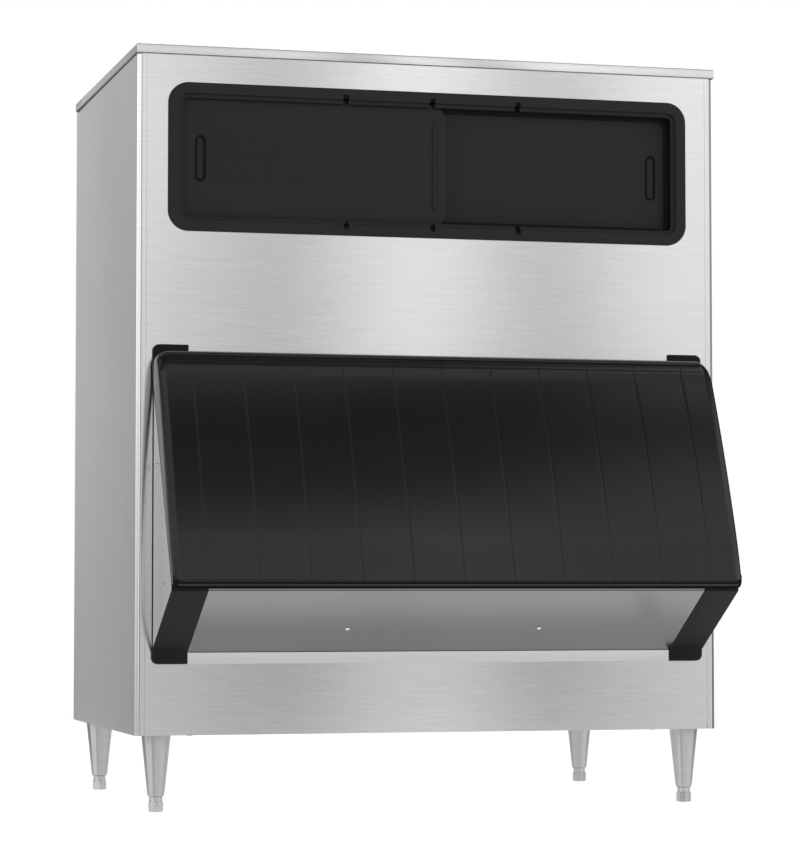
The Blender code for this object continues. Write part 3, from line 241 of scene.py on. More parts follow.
class Look:
    """One procedural material, whose patterns lie on the piece's Object coordinates."""

    def __init__(self, name):
        self.material = bpy.data.materials.new(name)
        self.material.use_nodes = True
        self.tree = self.material.node_tree
        self.shader = self.tree.nodes["Principled BSDF"]
        self.place = self.add("ShaderNodeTexCoord").outputs["Object"]

    def add(self, kind, **settings):
        """New shader node with these settings."""
        node = self.tree.nodes.new(kind)
        for key, value in settings.items():
            setattr(node, key, value)
        return node

    def link(self, source, target):
        """Runs one socket's value to another."""
        self.tree.links.new(source, target)

    def stretched(self, scale):
        """Object coordinates with each axis multiplied by its scale."""
        node = self.add("ShaderNodeMapping")
        node.inputs["Scale"].default_value = scale
        self.link(self.place, node.inputs["Vector"])
        return node.outputs["Vector"]

    def noise(self, vector, scale, detail=2.0, rough=0.5):
        """Cloudy grey pattern, mostly between 0.3 and 0.7."""
        node = self.add("ShaderNodeTexNoise")
        node.inputs["Scale"].default_value = scale
        node.inputs["Detail"].default_value = detail
        node.inputs["Roughness"].default_value = rough
        self.link(vector, node.inputs["Vector"])
        return node.outputs["Fac"]

    def span(self, value, low, high, from_low=0.3, from_high=0.7):
        """Carries one range of values over to another, in a straight line."""
        node = self.add("ShaderNodeMapRange")
        node.inputs["From Min"].default_value = from_low
        node.inputs["From Max"].default_value = from_high
        node.inputs["To Min"].default_value = low
        node.inputs["To Max"].default_value = high
        self.link(value, node.inputs["Value"])
        return node.outputs["Result"]

    def times(self, a, b):
        """One value multiplied by another."""
        node = self.add("ShaderNodeMath", operation="MULTIPLY")
        self.link(a, node.inputs[0])
        self.link(b, node.inputs[1])
        return node.outputs[0]

    def shade(self, color, value):
        """Base colour: a colour multiplied by a grey value."""
        node = self.add("ShaderNodeMix", data_type="RGBA", blend_type="MULTIPLY")
        node.inputs["Factor"].default_value = 1.0
        node.inputs["A"].default_value = (*color, 1)
        self.link(value, node.inputs["B"])
        self.link(node.outputs["Result"], self.shader.inputs["Base Color"])

    def bump(self, height, distance, strength):
        """Raises the shaded surface by a grey pattern."""
        node = self.add("ShaderNodeBump")
        node.inputs["Strength"].default_value = strength
        node.inputs["Distance"].default_value = distance
        self.link(height, node.inputs["Height"])
        self.link(node.outputs["Normal"], self.shader.inputs["Normal"])


def brushed_steel(name, color, fine, soft, roughness, anisotropy, cloud=0.05, streaks=0.03):
    """Brushed sheet: noise stretched by the fine and soft scales gives hair-fine and broader
    streaks, and clouds lie over them. The fine streaks also vary the roughness, and with
    anisotropy the reflection spreads across the grain."""
    look = Look(name)
    streak = look.noise(look.stretched(fine), 1.0, detail=3.0, rough=0.65)
    band = look.noise(look.stretched(soft), 1.0, detail=2.0)
    clouds = look.noise(look.place, 2.2, detail=2.0)
    low, high = 1 - streaks, 1 + streaks
    grain = look.times(look.span(streak, low, high), look.span(band, low, high))
    look.shade(color, look.times(grain, look.span(clouds, 1 - cloud, 1 + cloud)))
    uneven = 5 * streaks
    rough = look.span(streak, roughness * (1 - uneven), roughness * (1 + uneven))
    look.link(rough, look.shader.inputs["Roughness"])
    look.shader.inputs["Metallic"].default_value = 1.0
    look.shader.inputs["Anisotropic"].default_value = anisotropy
    look.shader.inputs["Anisotropic Rotation"].default_value = 0.25
    if anisotropy:
        tangent = look.add("ShaderNodeTangent", direction_type="RADIAL", axis="Z")
        look.link(tangent.outputs["Tangent"], look.shader.inputs["Tangent"])
    look.bump(streak, 0.02 * MM, 0.25)
    return look.material


def moulded(name, color, roughness, grain=0.06, specular=0.5, tint=0.08):
    """Moulded plastic or rubber: fine grain in the surface and slightly uneven gloss."""
    look = Look(name)
    fine = look.noise(look.place, 1600.0, detail=2.0)
    broad = look.noise(look.place, 9.0, detail=3.0)
    look.shade(color, look.span(broad, 1 - tint, 1 + tint))
    look.link(look.span(broad, roughness * 0.92, roughness * 1.08), look.shader.inputs["Roughness"])
    look.shader.inputs["Specular IOR Level"].default_value = specular
    look.bump(fine, grain * MM, 0.3)
    return look.material


GREY = (0.60, 0.60, 0.602)
ALONG_FINE, ALONG_SOFT = (7, 2600, 2600), (1.5, 420, 420)
SKIN = brushed_steel("brushed_skin", GREY, (26, 26, 2100), (16, 16, 390), 0.18, 0.88, 0.04, 0.028)
TOP = brushed_steel("brushed_top", GREY, ALONG_FINE, ALONG_SOFT, 0.22, 0.0)
# The trough's steel is painted much darker than the skins: painted shade for the dim floor that it reflects.
TROUGH_SHADED_GREY, TROUGH_FINE = (0.262, 0.262, 0.264), (7, 1900, 1900)
TROUGH = brushed_steel("brushed_trough_painted_shade", TROUGH_SHADED_GREY, TROUGH_FINE, ALONG_SOFT, 0.235, 0.0, 0.04, 0.004)
# A much lighter steel painted on the trough's nose: a painted highlight.
NOSE_HIGHLIGHT = brushed_steel("nose_painted_highlight", (0.82, 0.82, 0.822), ALONG_FINE, ALONG_SOFT, 0.14, 0.0, 0.03, 0.01)
# Dark steel painted where a thin line of shade falls: along the hem crease under the trough's nose and in
# the groove over the cap's lower edge.
SHADE_LINE = brushed_steel("painted_shade_line", (0.10, 0.10, 0.101), (7, 7, 2600), (2, 2, 420), 0.40, 0.0, 0.03, 0.01)
LIP_STEEL = brushed_steel("brushed_lip", (0.63, 0.63, 0.632), ALONG_FINE, ALONG_SOFT, 0.42, 0.0, 0.02, 0.01)
# The cheeks' steel is painted lighter than the skins: painted light on the cheeks.
LIT_CHEEK = brushed_steel("brushed_cheek_painted_light", (0.78, 0.78, 0.782), (7, 2600, 7), (1.5, 420, 1.5), 0.22, 0.0)
LEG = brushed_steel("satin_leg", (0.525, 0.525, 0.527), (30, 30, 1500), (8, 8, 200), 0.37, 1.0, 0.02)
ZINC = brushed_steel("zinc_plate", (0.59, 0.59, 0.593), (40, 40, 900), (90, 90, 90), 0.38, 1.0, 0.02)
SCREW = brushed_steel("bright_screw", (0.78, 0.78, 0.785), (60, 60, 60), (300, 300, 300), 0.22, 0.0, 0.02)
BLACK = moulded("satin_black", (0.0162, 0.0162, 0.0164), 0.50, 0.05, 0.20)
# A darker black painted where shade falls in recesses: deep in the window tracks, in the notches and in the
# door's lip channel.
SHADE_BLACK = moulded("painted_shade_black", (0.0078, 0.0078, 0.0079), 0.55, 0.05, 0.08)
FRAME_BLACK = moulded("frame_black", (0.0110, 0.0110, 0.0111), 0.55, 0.05, 0.13)
DOOR_BLACK = moulded("door_black", (0.0062, 0.0062, 0.0063), 0.125, 0.008, 0.50)
# A darker black painted into the door's plank grooves: painted shade.
GROOVE_SHADE_BLACK = moulded("painted_groove_shade", (0.0045, 0.0045, 0.0046), 0.16, 0.008, 0.30)
WHITE = moulded("liner_white", (0.78, 0.79, 0.79), 0.42, 0.04, 0.5, 0.015)
FOAM = moulded("foam_cream", (0.80, 0.74, 0.53), 0.9, 0.6, 0.2, 0.06)
RUBBER = moulded("seal_rubber", (0.022, 0.022, 0.022), 0.7, 0.08, 0.3)
DRAIN = moulded("drain_plastic", (0.70, 0.70, 0.68), 0.5, 0.05, 0.5, 0.03)

SLOT_LOOKS = {
    "stainless": SKIN, "leg_steel": LEG, "zinc_steel": ZINC, "black_plastic": BLACK,
    "liner_plastic": WHITE, "foam": FOAM, "gasket_rubber": RUBBER, "drain_plastic": DRAIN,
}
# The cheek panels get the lighter steel of painted light.
OWN_LOOKS = {
    "cheek_panel_left": LIT_CHEEK, "cheek_panel_right": LIT_CHEEK, "drain_strainer": TOP, "base_pan": TOP,
}


def dress_nodes():
    """Every CAD node gets the procedural material of its slot, or its own."""
    for row in frame["record"]["subparts"]:
        node = frame["nodes"][row["node"]]
        look = OWN_LOOKS.get(row["node"], SLOT_LOOKS[row["material_slot"]])
        node.data.materials.clear()
        node.data.materials.append(look)


dress_nodes()


# Side view of the throat and the door

FRAME_HALF = 575.3 * MM
BAR = 71.8 * MM
SHEET = 1.2 * MM
SLANT_TOP = np.array([0, 859.0]) * MM
SKIN_HIGH = np.array([0, 924.6]) * MM
NOSE_TOP = np.array([213.3, 448.0]) * MM
NOSE_LOW = np.array([213.3, 437.5]) * MM
SLOPE_BACK = np.array([0, 314.0]) * MM
SKIN_LOW = np.array([0, 292.8]) * MM
RUN = (NOSE_TOP - SLANT_TOP) / np.linalg.norm(NOSE_TOP - SLANT_TOP)
OUT = np.array([-RUN[1], RUN[0]])
SLOPE_RUN = (SLOPE_BACK - NOSE_LOW) / np.linalg.norm(SLOPE_BACK - NOSE_LOW)


def slant(along, out):
    """Point a distance down the throat's slanted face and another in front of it."""
    return SLANT_TOP + RUN * along + OUT * out


def offset_path(path, distances):
    """Open path whose stretches move to their left: neighbours meet where they cross."""
    path = np.asarray(path, float)
    run = np.diff(path, axis=0)
    run /= np.linalg.norm(run, axis=1)[:, None]
    left = np.stack([-run[:, 1], run[:, 0]], -1)
    start = path[:-1] + left * np.asarray(distances, float)[:, None]
    gap = start[1:] - start[:-1]
    cross = run[:-1, 0] * run[1:, 1] - run[:-1, 1] * run[1:, 0]
    along = (gap[:, 0] * run[1:, 1] - gap[:, 1] * run[1:, 0]) / cross
    inner = start[:-1] + run[:-1] * along[:, None]
    return np.concatenate([start[:1], inner, [start[-1] + path[-1] - path[-2]]])


# Door

DOOR_HALF = 576.0 * MM
DOOR_WALL = 3.5 * MM
DOOR_TOP = 911.1 * MM
DOOR_BACK = 17.3 * MM
CROWN = 45.1 * MM
CROWN_MIDDLE = np.array([23.9, 866.0]) * MM
DOOR_END = 467.0 * MM
HEEL_OUT = 8.2 * MM
HOLLOW_HEEL_OUT = -5 * MM
LOWER_OUT = 26.7 * MM
BULGE = 8.0 * MM
PLANK_LINES = np.arange(-5, 6) * 102.0 * MM
GROOVE_HALF = 0.9 * MM
TOP_CORNER, TOP_BLEND = 25 * MM, 43.0 * MM
LOW_CORNER, LOW_BLEND = 13 * MM, 60.0 * MM
LIP_BEND = np.array([236.95, 457.6]) * MM
LIP = np.array([
    (236.9, 456.2), (236.4, 455.3), (234.9, 454.5), (235.0, 453.9), (236.4, 450.4), (236.9, 449.5),
    (236.9, 447.3), (236.6, 446.1), (235.8, 445.5), (231.0, 445.2), (231.0, 442.8), (235.0, 442.6),
    (235.2, 442.3), (234.8, 442.0), (233.5, 441.8), (224.5, 443.6)]) * MM
HINGE_SLOT_X = (554.7 * MM, 567.3 * MM)
HINGE_SLOT_FORWARD = (12.3 * MM, 38.6 * MM)
HINGE_SLOT_Z = (875.5 * MM, 916 * MM)


def smooth(value, low, high):
    """Eases from 0 at low to 1 at high: three times the share's square less twice its cube."""
    share = np.clip((value - low) / (high - low), 0, 1)
    return share * share * (3 - 2 * share)


def door_face():
    """Side view of the door's outer face, from the level top over the crown and down to
    the lower edge: an arc of the crown's radius, then an arc that rises BULGE above its
    chord. Repeating the sum finds the lean at which one arc runs smoothly into the other.

    Returns points, outward normals, the distance run along it and the shoulder's place."""
    lower = slant(DOOR_END, LOWER_OUT)
    lean = 0.0
    for _ in range(30):
        shoulder = CROWN_MIDDLE + CROWN * np.array([math.sin(lean), math.cos(lean)])
        chord = lower - shoulder
        length = np.linalg.norm(chord)
        swing = 2 * math.atan(2 * BULGE / length)
        lean = math.atan2(-chord[1], chord[0]) - swing
    tilt = np.linspace(0, lean, 70)
    tops = np.stack([np.sin(tilt), np.cos(tilt)], -1)
    crown = CROWN_MIDDLE + CROWN * tops
    radius = length / (2 * math.sin(swing))
    side = np.array([-chord[1], chord[0]]) / length
    middle = (shoulder + lower) / 2 - side * radius * math.cos(swing)
    turn = swing * (1 - 2 * (1 - (1 - np.linspace(0, 1, 150)[1:]) ** 1.3))
    fronts = np.cos(turn)[:, None] * side - np.sin(turn)[:, None] * chord / length
    points = np.concatenate([crown, middle + radius * fronts])
    normals = np.concatenate([tops, fronts])
    steps = np.linalg.norm(np.diff(points, axis=0), axis=1)
    run = np.concatenate([[0], np.cumsum(steps)])
    return points, normals, run, run[len(crown) - 1]


def door_relief(run, shoulder):
    """How far the face lies under its plain arcs: a deep groove below the top edge, a bead,
    a band that sinks softly and ends at the shoulder, a softly eased start of the planks
    below it, and a stretch above the lower edge that sinks towards the lip."""
    groove = 2.4 * MM * np.exp(-((run - 25.5 * MM) / (1.7 * MM)) ** 2)
    above = 1 - smooth(run, shoulder - 3 * MM, shoulder + 3 * MM)
    sunk = 0.9 * MM * smooth(run, 28 * MM, 44 * MM) * above
    ease = 0.5 * MM * (1 - smooth(run, shoulder, shoulder + 30 * MM)) * (run >= shoulder - 1e-9)
    crown = 0.5 * MM * smooth(run, 30 * MM, shoulder)
    end = run[-1]
    foot = 1.3 * MM * smooth(run, end - 110 * MM, end - 14 * MM)
    return 0.30 * MM + groove + sunk + np.where(run < shoulder, crown, ease) + foot


def door_depth(x, inward, run, shoulder):
    """How far the whole face lies inside its plain arcs: the relief, a line between every two
    planks, ends that fall off like a cushion with a fine line along them, and end edges
    that are quarter rounds."""
    nearest = np.abs(x[:, None] - PLANK_LINES[None, :]).min(1)
    line = 0.33 * MM * np.exp(-(nearest / (1.2 * MM)) ** 2)
    deep = 0.4 * smooth(run, 31 * MM, 35 * MM) + 0.6 * smooth(run, shoulder, shoulder + 6 * MM)
    cushion = 2.8 * MM * np.clip(1 - inward / (15 * MM), 0, 1) ** 1.3
    cushion += 0.9 * MM * np.exp(-((inward - 2.2 * MM) / (0.7 * MM)) ** 2)
    depth = door_relief(run, shoulder)[None, :] + line[:, None] * deep[None, :]
    depth += cushion[:, None] * smooth(run, 26 * MM, 66 * MM)[None, :]
    return depth + quarter_round(1.2 * MM, inward)[:, None]


def door_across(half):
    """Places across the door, closer together at its ends and on the plank grooves."""
    ends = half - np.concatenate([np.linspace(0, 5, 16), np.linspace(5.5, 30, 22)]) * MM
    grooves = PLANK_LINES[:, None] + np.linspace(-3.2, 3.2, 9)[None, :] * MM
    fill = np.linspace(-half + 40 * MM, half - 40 * MM, 60)
    near = np.abs(fill[:, None] - PLANK_LINES[None, :]).min(1)
    fill = fill[near > 6 * MM]
    return np.unique(np.concatenate([-ends, ends, grooves.ravel(), fill]).round(7))


def door_body(name, half, wall, relief):
    """Closed body of the door: a side view carried across, with its top corners and lower
    corners rounded off as quarter circles.

    Wall is how far the whole surface lies inside the outer one. Without relief it is the
    plain hollow, with its lower edge cut off square.
    """
    face, normals, run, shoulder = door_face()
    x = door_across(half)
    if not relief:
        # Every fourth point down the face is enough, and so is every fourth place near the ends.
        rows = np.unique(np.append(np.arange(0, len(run), 4), len(run) - 1))
        face, normals, run = face[rows], normals[rows], run[rows]
        ends = x[x < 31 * MM - half][::4]
        x = np.concatenate([ends, -ends[::-1]])
    inward = half - np.abs(x)
    depth = np.full((len(x), len(run)), wall)
    if relief:
        depth += door_depth(x, inward, run, shoulder)
    points = face[None] - normals[None] * depth[..., None]

    top, end = DOOR_TOP - wall, DOOR_END - wall
    heel_out = HEEL_OUT if relief else HOLLOW_HEEL_OUT
    heel = slant(0, heel_out)
    behind = DOOR_BACK + wall
    back = np.array([[behind, heel[1] + RUN[1] / RUN[0] * (behind - heel[0])],
                     [behind, top - 5.9 * MM], [behind + 1.7 * MM, top - 1.7 * MM]])
    if relief:
        bend = LIP_BEND
        low = np.concatenate([LIP, [slant(DOOR_END - 2 * MM, heel_out)]])
    else:
        bend = slant(end, LOWER_OUT - wall)
        low = np.array([slant(end, LOWER_OUT - 2 * MM - wall), slant(end, heel_out)])

    # The face ends in a curve of the second degree, from its last point by way of the bend.
    keep = np.linalg.norm(face - face[-1], axis=1) > 2.2 * MM
    points = points[:, keep]
    arc_from = face[keep][-1] - normals[keep][-1] * wall
    t = np.linspace(0, 1, 9)[1:-1, None]
    fillet = (1 - t) ** 2 * arc_from + 2 * t * (1 - t) * bend + t ** 2 * low[0]
    shift = (points[:, -1] - arc_from)[:, None, :] * (1 - t[None])
    tail = np.broadcast_to(fillet, (len(x), *fillet.shape)) + shift
    rest = np.broadcast_to(low, (len(x), *low.shape))
    back = np.broadcast_to(back, (len(x), *back.shape))
    rings = np.concatenate([back, points, tail, rest], 1)

    # At both ends the top is pressed down and the lower edge is pushed up, each by what its
    # quarter-round corner takes away, less and less over the blend's length.
    drop = quarter_round(TOP_CORNER - wall, inward)
    height = rings[..., 1]
    share = 1 - drop[:, None] / TOP_BLEND
    pressed = top - TOP_BLEND + (height - top + TOP_BLEND) * share
    rings[..., 1] = np.where(height > top - TOP_BLEND, pressed, height)
    lift = quarter_round(LOW_CORNER - wall, inward)
    along = (rings - SLANT_TOP) @ RUN
    out = (rings - SLANT_TOP) @ OUT
    pushed = (along - end + LOW_BLEND) / LOW_BLEND * lift[:, None]
    pushed = np.where(along > end - LOW_BLEND, pushed, 0)
    rings = SLANT_TOP + (along - pushed)[..., None] * RUN + out[..., None] * OUT
    across = np.broadcast_to(x[:, None], rings.shape[:2])
    return loft(name, np.stack([across, SKIN_Y - rings[..., 0], rings[..., 1]], -1), angle=32)


def plank_grooves(middle, facing):
    """Faces on the lines between the planks, on the door's front, which get the darker black of painted
    shade.
    """
    return (np.abs(middle[:, :1] - PLANK_LINES).min(1) < GROOVE_HALF) & (facing[:, 1] < -0.4)


def shaded_lip_channel(middle, _):
    """Faces in the channel along the door's lower lip, which get the darker black of painted shade."""
    y = middle[:, 1]
    return (middle[:, 2] < 459 * MM) & (y > SKIN_Y - 236.45 * MM) & (y < SKIN_Y - 228 * MM)


def make_door():
    """Shell with its hollow and the two hinge slots cut out."""
    shell = door_body("door_shell_skin", DOOR_HALF, 0.0, True)
    hollow = door_body("door_hollow", DOOR_HALF - DOOR_WALL, DOOR_WALL, False)
    near, far = HINGE_SLOT_FORWARD
    slots = [block(*(sign * x for x in HINGE_SLOT_X), SKIN_Y - far, SKIN_Y - near, *HINGE_SLOT_Z)
             for sign in (-1, 1)]
    carve(shell, [hollow, *slots])
    finished(shell, "door", DOOR_BLACK, "black_plastic", "door_shell")
    # Painted shade: the plank grooves get the darker black.
    second_look(shell, GROOVE_SHADE_BLACK, plank_grooves)
    # Painted shade: the channel along the lower lip gets the darker black.
    second_look(shell, SHADE_BLACK, shaded_lip_channel)


# Window

WINDOW_WIDTH = 1091.4 * MM
WINDOW_HEIGHT = 298.12 * MM
WINDOW_MIDDLE = 1301.14 * MM
WINDOW_CORNER = 41.7 * MM
DEEP_CORNER = 14 * MM
NOTCHES_X = np.array([-181.3, 0.0, 181.3]) * MM
NOTCH_HALF = 5.5 * MM
PANEL_THICK = 9 * MM
PANEL_EDGE = 1.3 * MM
PANEL_INNER = 33.0 * MM
LEFT_FRONT = -11.5 * MM
RIGHT_FRONT = -26 * MM
PULL_X = 478.2 * MM
PULL_WIDTH, PULL_HEIGHT = 22 * MM, 93 * MM
PULL_DEPTH = 7.8 * MM
PULL_EDGE = 0.9 * MM
ROUND_END_SHARE = 0.98


def upright(outlines, x, z, forward):
    """Rings of points from (across, up) outlines round one place, each outline at its own
    distance in front of the cabinet's skin."""
    y = np.broadcast_to(SKIN_Y - forward[:, None], outlines.shape[:2])
    return np.stack([outlines[..., 0] + x, y, outlines[..., 1] + z], -1)


def shaded_tracks_and_notches(middle, _):
    """Faces inside the bezel's notches, and those deep in its tracks above and at the right, which get the
    darker black of painted shade.
    """
    column = np.abs(middle[:, :1] - NOTCHES_X).min(1)
    inset = WINDOW_HEIGHT / 2 - np.abs(middle[:, 2] - WINDOW_MIDDLE)
    notch = (column < NOTCH_HALF + 0.1 * MM) & (inset > 13 * MM) & (inset < 36 * MM)
    notch &= middle[:, 1] > SKIN_Y - 4.1 * MM
    dim = (middle[:, 2] > WINDOW_MIDDLE) | (middle[:, 0] > 505 * MM)
    return notch | (dim & (middle[:, 1] > SKIN_Y + 11.5 * MM))


def make_bezel():
    """Moulded window frame: its section is a closed list of (inset, forward) points with
    eased corners, carried round the window's round-cornered outline; six notches."""
    section = np.array([
        (0, 0.3), (0, 4.3), (22.4, 4.3), (22.4, -3.0), (30.5, -3.0), (30.5, -11.0), (22.5, -11.0),
        (22.5, -21.0), (38.0, -21.0), (38.0, -25.5), (30.0, -25.5), (30.0, -35.5), (42.0, -35.5),
        (42.0, -54.5), (18.5, -54.5), (18.5, 0.3)]) * MM
    radii = np.array([0.2, 2.0, 0.9, 0.8, 1.2, 0.6, 0.4, 0.4, 0.8, 0.6, 0.4, 0.4, 0.8, 0.4, 0.4, 0.3]) * MM
    section = eased(section, radii, 4)
    inset = section[:, 0]
    corner = np.where(inset > 34 * MM, DEEP_CORNER, WINDOW_CORNER - inset)
    outlines = round_rectangles(WINDOW_WIDTH / 2 - inset, WINDOW_HEIGHT / 2 - inset, corner, 16)
    bezel = loft("window_bezel_moulding", upright(outlines, 0, WINDOW_MIDDLE, section[:, 1]), closed=True)
    notch = np.array([(13.1, 9.3), (13.1, 1.0), (19.6, 1.0), (19.7, -16.0), (35.5, -16.0), (35.5, 9.3)]) * MM
    cutters = []
    for sign in (-1, 1):
        height = WINDOW_MIDDLE + sign * (WINDOW_HEIGHT / 2 - notch[:, 0])
        outline = np.stack([notch[:, 1], height], -1)
        cutters += [side_bar("notch", outline, x - NOTCH_HALF, x + NOTCH_HALF) for x in NOTCHES_X]
    carve(bezel, cutters)
    finished(bezel, "cabinet", BLACK, "black_plastic", "window_bezel")
    # Painted shade: the deep track walls above and at the right, and the notches, get the darker black.
    second_look(bezel, SHADE_BLACK, shaded_tracks_and_notches)


def panel_plate(name, x0, x1, half_z, radii, front):
    """Upright plate with round corners; its front and back edges are quarter rounds."""
    inset, along = edge_steps(PANEL_EDGE)
    inset = np.concatenate([inset, inset[::-1]])
    forward = np.concatenate([front - along, front - PANEL_THICK + along[::-1]])
    outlines = []
    for d in inset:
        low, high = d - half_z, half_z - d
        corners = np.array([(x0 + d, low), (x1 - d, low), (x1 - d, high), (x0 + d, high)])
        outlines.append(eased(corners, np.maximum(radii - d, 0.5 * MM), 12))
    return loft(name, upright(np.array(outlines), 0, WINDOW_MIDDLE, forward))


def finger_pull(x, z, front):
    """Round-ended pocket cutter: its rim flares by a small quarter round, and a deeper
    channel runs round its floor along the wall."""
    flare, sink = edge_steps(PULL_EDGE)
    channel = np.array([(0, 0.3), (-0.3, 0), (-3.4, 0), (-3.9, 0.6), (-4.8, 3.6)]) * MM
    grow = np.concatenate([[PULL_EDGE, PULL_EDGE], flare, channel[:, 0]])
    forward = np.concatenate([[front + 5 * MM, front], front - sink, front - PULL_DEPTH + channel[:, 1]])
    half_w, half_h = PULL_WIDTH / 2 + grow, PULL_HEIGHT / 2 + grow
    outlines = round_rectangles(half_w, half_h, half_w * ROUND_END_SHARE)
    return loft("pocket", upright(outlines, x, z, forward))


def ridge_bar(x, z, width, height, front, proud):
    """Round-ended upright ridge, its top edge a quarter round."""
    inset, along = edge_steps(proud * 0.9, 5)
    grow = np.concatenate([[0], -along])
    forward = np.concatenate([[front - 2 * MM], front + proud - inset])
    half_w, half_h = width / 2 + grow, height / 2 + grow
    outlines = round_rectangles(half_w, half_h, half_w * ROUND_END_SHARE)
    return loft("ridge", upright(outlines, x, z, forward))


def make_window_panels():
    """The left panel runs in front and carries an upright ridge; both have a finger pull."""
    left = panel_plate("window_panel_left", -522.7 * MM, PANEL_INNER, 126.06 * MM,
                       np.array([19.2, 34, 34, 19.2]) * MM, LEFT_FRONT)
    right = panel_plate("window_panel_right", -PANEL_INNER, 515.2 * MM, 118.56 * MM,
                        np.array([34, 11.7, 11.7, 34]) * MM, RIGHT_FRONT)
    join(left, [ridge_bar(7 * MM, WINDOW_MIDDLE, 9 * MM, 182 * MM, LEFT_FRONT, 2.4 * MM)])
    carve(left, [finger_pull(-PULL_X, WINDOW_MIDDLE - 1.2 * MM, LEFT_FRONT)])
    carve(right, [finger_pull(PULL_X, WINDOW_MIDDLE - 6.5 * MM, RIGHT_FRONT)])
    finished(left, "left_window_panel", BLACK, "black_plastic", "window_slide_left")
    finished(right, "right_window_panel", BLACK, "black_plastic", "window_slide_right")


# Throat

TROUGH_HALF = 503.2 * MM
TROUGH_OUT = 7.5 * MM
TROUGH_DEPTH = 45.7 * MM
TROUGH_SCREW_X = 198 * MM
TROUGH_SCREW_FORWARD = 83.6 * MM
CHEEK_HALF = 573.3 * MM
CHEEK_SCREWS = (("high", 46.3 * MM, 684.0 * MM), ("low", 111.3 * MM, 448.0 * MM))
FRAME_CORNER = 13 * MM
FRAME_INNER_CORNER = 3 * MM
FRAME_EDGE = 1.6 * MM
FRAME_RIM = 1.8 * MM
FRAME_STEP = 1.1 * MM
STRIP_X = (564.5 * MM, 574.4 * MM)
STRIP_FORWARD = (0.6 * MM, 2.3 * MM)
STRIP_Z = (305.8 * MM, 911.6 * MM)
EAR_X = (556 * MM, 566 * MM)
EAR_RADIUS = 9 * MM
EAR_ROOT = 6.0 * MM
PIN = np.array([32, 892.1]) * MM


def capped_ribbon(name, rings):
    """Skin through rings whose second half runs back along the first: each end is closed
    by a strip of four-sided faces between the two halves."""
    rings = np.asarray(rings, float)
    count, size = rings.shape[:2]
    rows = np.arange(count - 1)[:, None] * size
    after = rows + size
    cols = np.arange(size)[None, :]
    beside = (cols + 1) % size
    skin = np.stack([rows + cols, rows + beside, after + beside, after + cols], -1).reshape(-1, 4)
    near = np.arange(size // 2 - 1)
    strip = np.stack([near, near + 1, size - 2 - near, size - 1 - near], -1)
    faces = np.concatenate([skin, strip, strip + (count - 1) * size])
    return put_mesh(name, rings.reshape(-1, 3), faces.tolist())


def join(target, parts):
    """Unites closed meshes with a piece for good."""
    for part in parts:
        modifier = target.modifiers.new("join", "BOOLEAN")
        modifier.solver = "EXACT"
        modifier.operation = "UNION"
        modifier.object = part
    return carve(target, [], parts)


def frame_section():
    """Section across a side frame's bar, as (inset from the outer edge, depth pressed down):
    a quarter-round edge, a step near the inner edge, and a quarter-round inner edge."""
    pressed, inset = edge_steps(FRAME_RIM, 5)
    outer = list(zip(inset, pressed))
    step = [(BAR - 11.8 * MM, 0), (BAR - 11.4 * MM, 0.15 * MM), (BAR - 11.0 * MM, 0.9 * MM),
            (BAR - 10.6 * MM, FRAME_STEP)]
    inner = [(BAR - across, FRAME_STEP + down) for across, down in outer[::-1]]
    return outer + step + inner


def frame_ends(line, press, fall):
    """A side-view line whose first and last points are drawn out into rows of points: each
    lies one fall in from the frame's end, and is pressed back by its own press."""
    high = np.column_stack([line[0, 0] - press, SKIN_HIGH[1] - fall])
    low = np.column_stack([line[-1, 0] - press, SKIN_LOW[1] + fall])
    return np.concatenate([high, line[1:-1], low[::-1]])


def hinge_ear(sign):
    """Ear that carries the door's hinge pin: a round end about the pin, and a root in the bar."""
    angles = np.linspace(-math.pi / 2, math.pi - 0.46, 28)
    arc = PIN + EAR_RADIUS * np.stack([np.cos(angles), np.sin(angles)], -1)
    outline = np.concatenate([[(EAR_ROOT, 878.1 * MM)], arc, [(EAR_ROOT, 896.1 * MM)]])
    return side_bar("ear", outline, sign * EAR_X[0], sign * EAR_X[1], 0.7 * MM, 3)


def make_side_frame(side, sign):
    """Moulded bar round one end of the throat. Its side view follows the frame's path; across,
    the face is pressed down by rounded edges and by a step near its inner edge. Its two
    ends have round corners. The thin strip up the skin and the hinge ear are one with it."""
    path = np.array([SKIN_HIGH, SLANT_TOP, NOSE_TOP, NOSE_LOW, SLOPE_BACK, SKIN_LOW])
    front_side = np.array([7.5, 7.5, 1.5, 1.5, 7.5]) * MM
    back_side = np.array([0.3, 0, -1.5, -1.5, 0.3]) * MM
    press_share = np.array([1, 1, 0.45, 0.45, 1])
    bends = np.array([1, 4, 2.4, 1.8, 3, 1]) * MM
    fall = FRAME_CORNER * (1 - np.cos(np.linspace(0, math.pi / 2, 12)))
    end_press = quarter_round(FRAME_EDGE, fall)
    back = eased(offset_path(path, back_side), np.full(6, 0.3) * MM, 5, closed=False)
    back = frame_ends(back, np.zeros_like(fall), fall)
    rings = []
    for inset, pressed in frame_section():
        line = eased(offset_path(path, front_side - press_share * pressed), bends, 5, closed=False)
        flat = np.concatenate([frame_ends(line, end_press, fall), back[::-1]])
        end = np.minimum(SKIN_HIGH[1] - flat[:, 1], flat[:, 1] - SKIN_LOW[1])
        missing = quarter_round(FRAME_CORNER, end)
        short = quarter_round(FRAME_INNER_CORNER, end)
        x = FRAME_HALF - inset - np.where(inset < BAR / 2, missing, -short)
        rings.append(np.column_stack([sign * x, SKIN_Y - flat[:, 0], flat[:, 1]]))
    bar = capped_ribbon(f"side_frame_{side}_moulding", rings)
    near, far = STRIP_FORWARD
    strip = block(*sorted(sign * x for x in STRIP_X), SKIN_Y - far, SKIN_Y - near, *STRIP_Z)
    join(bar, [strip, hinge_ear(sign)])
    return finished(bar, "cabinet", FRAME_BLACK, "black_plastic", f"side_frame_{side}")


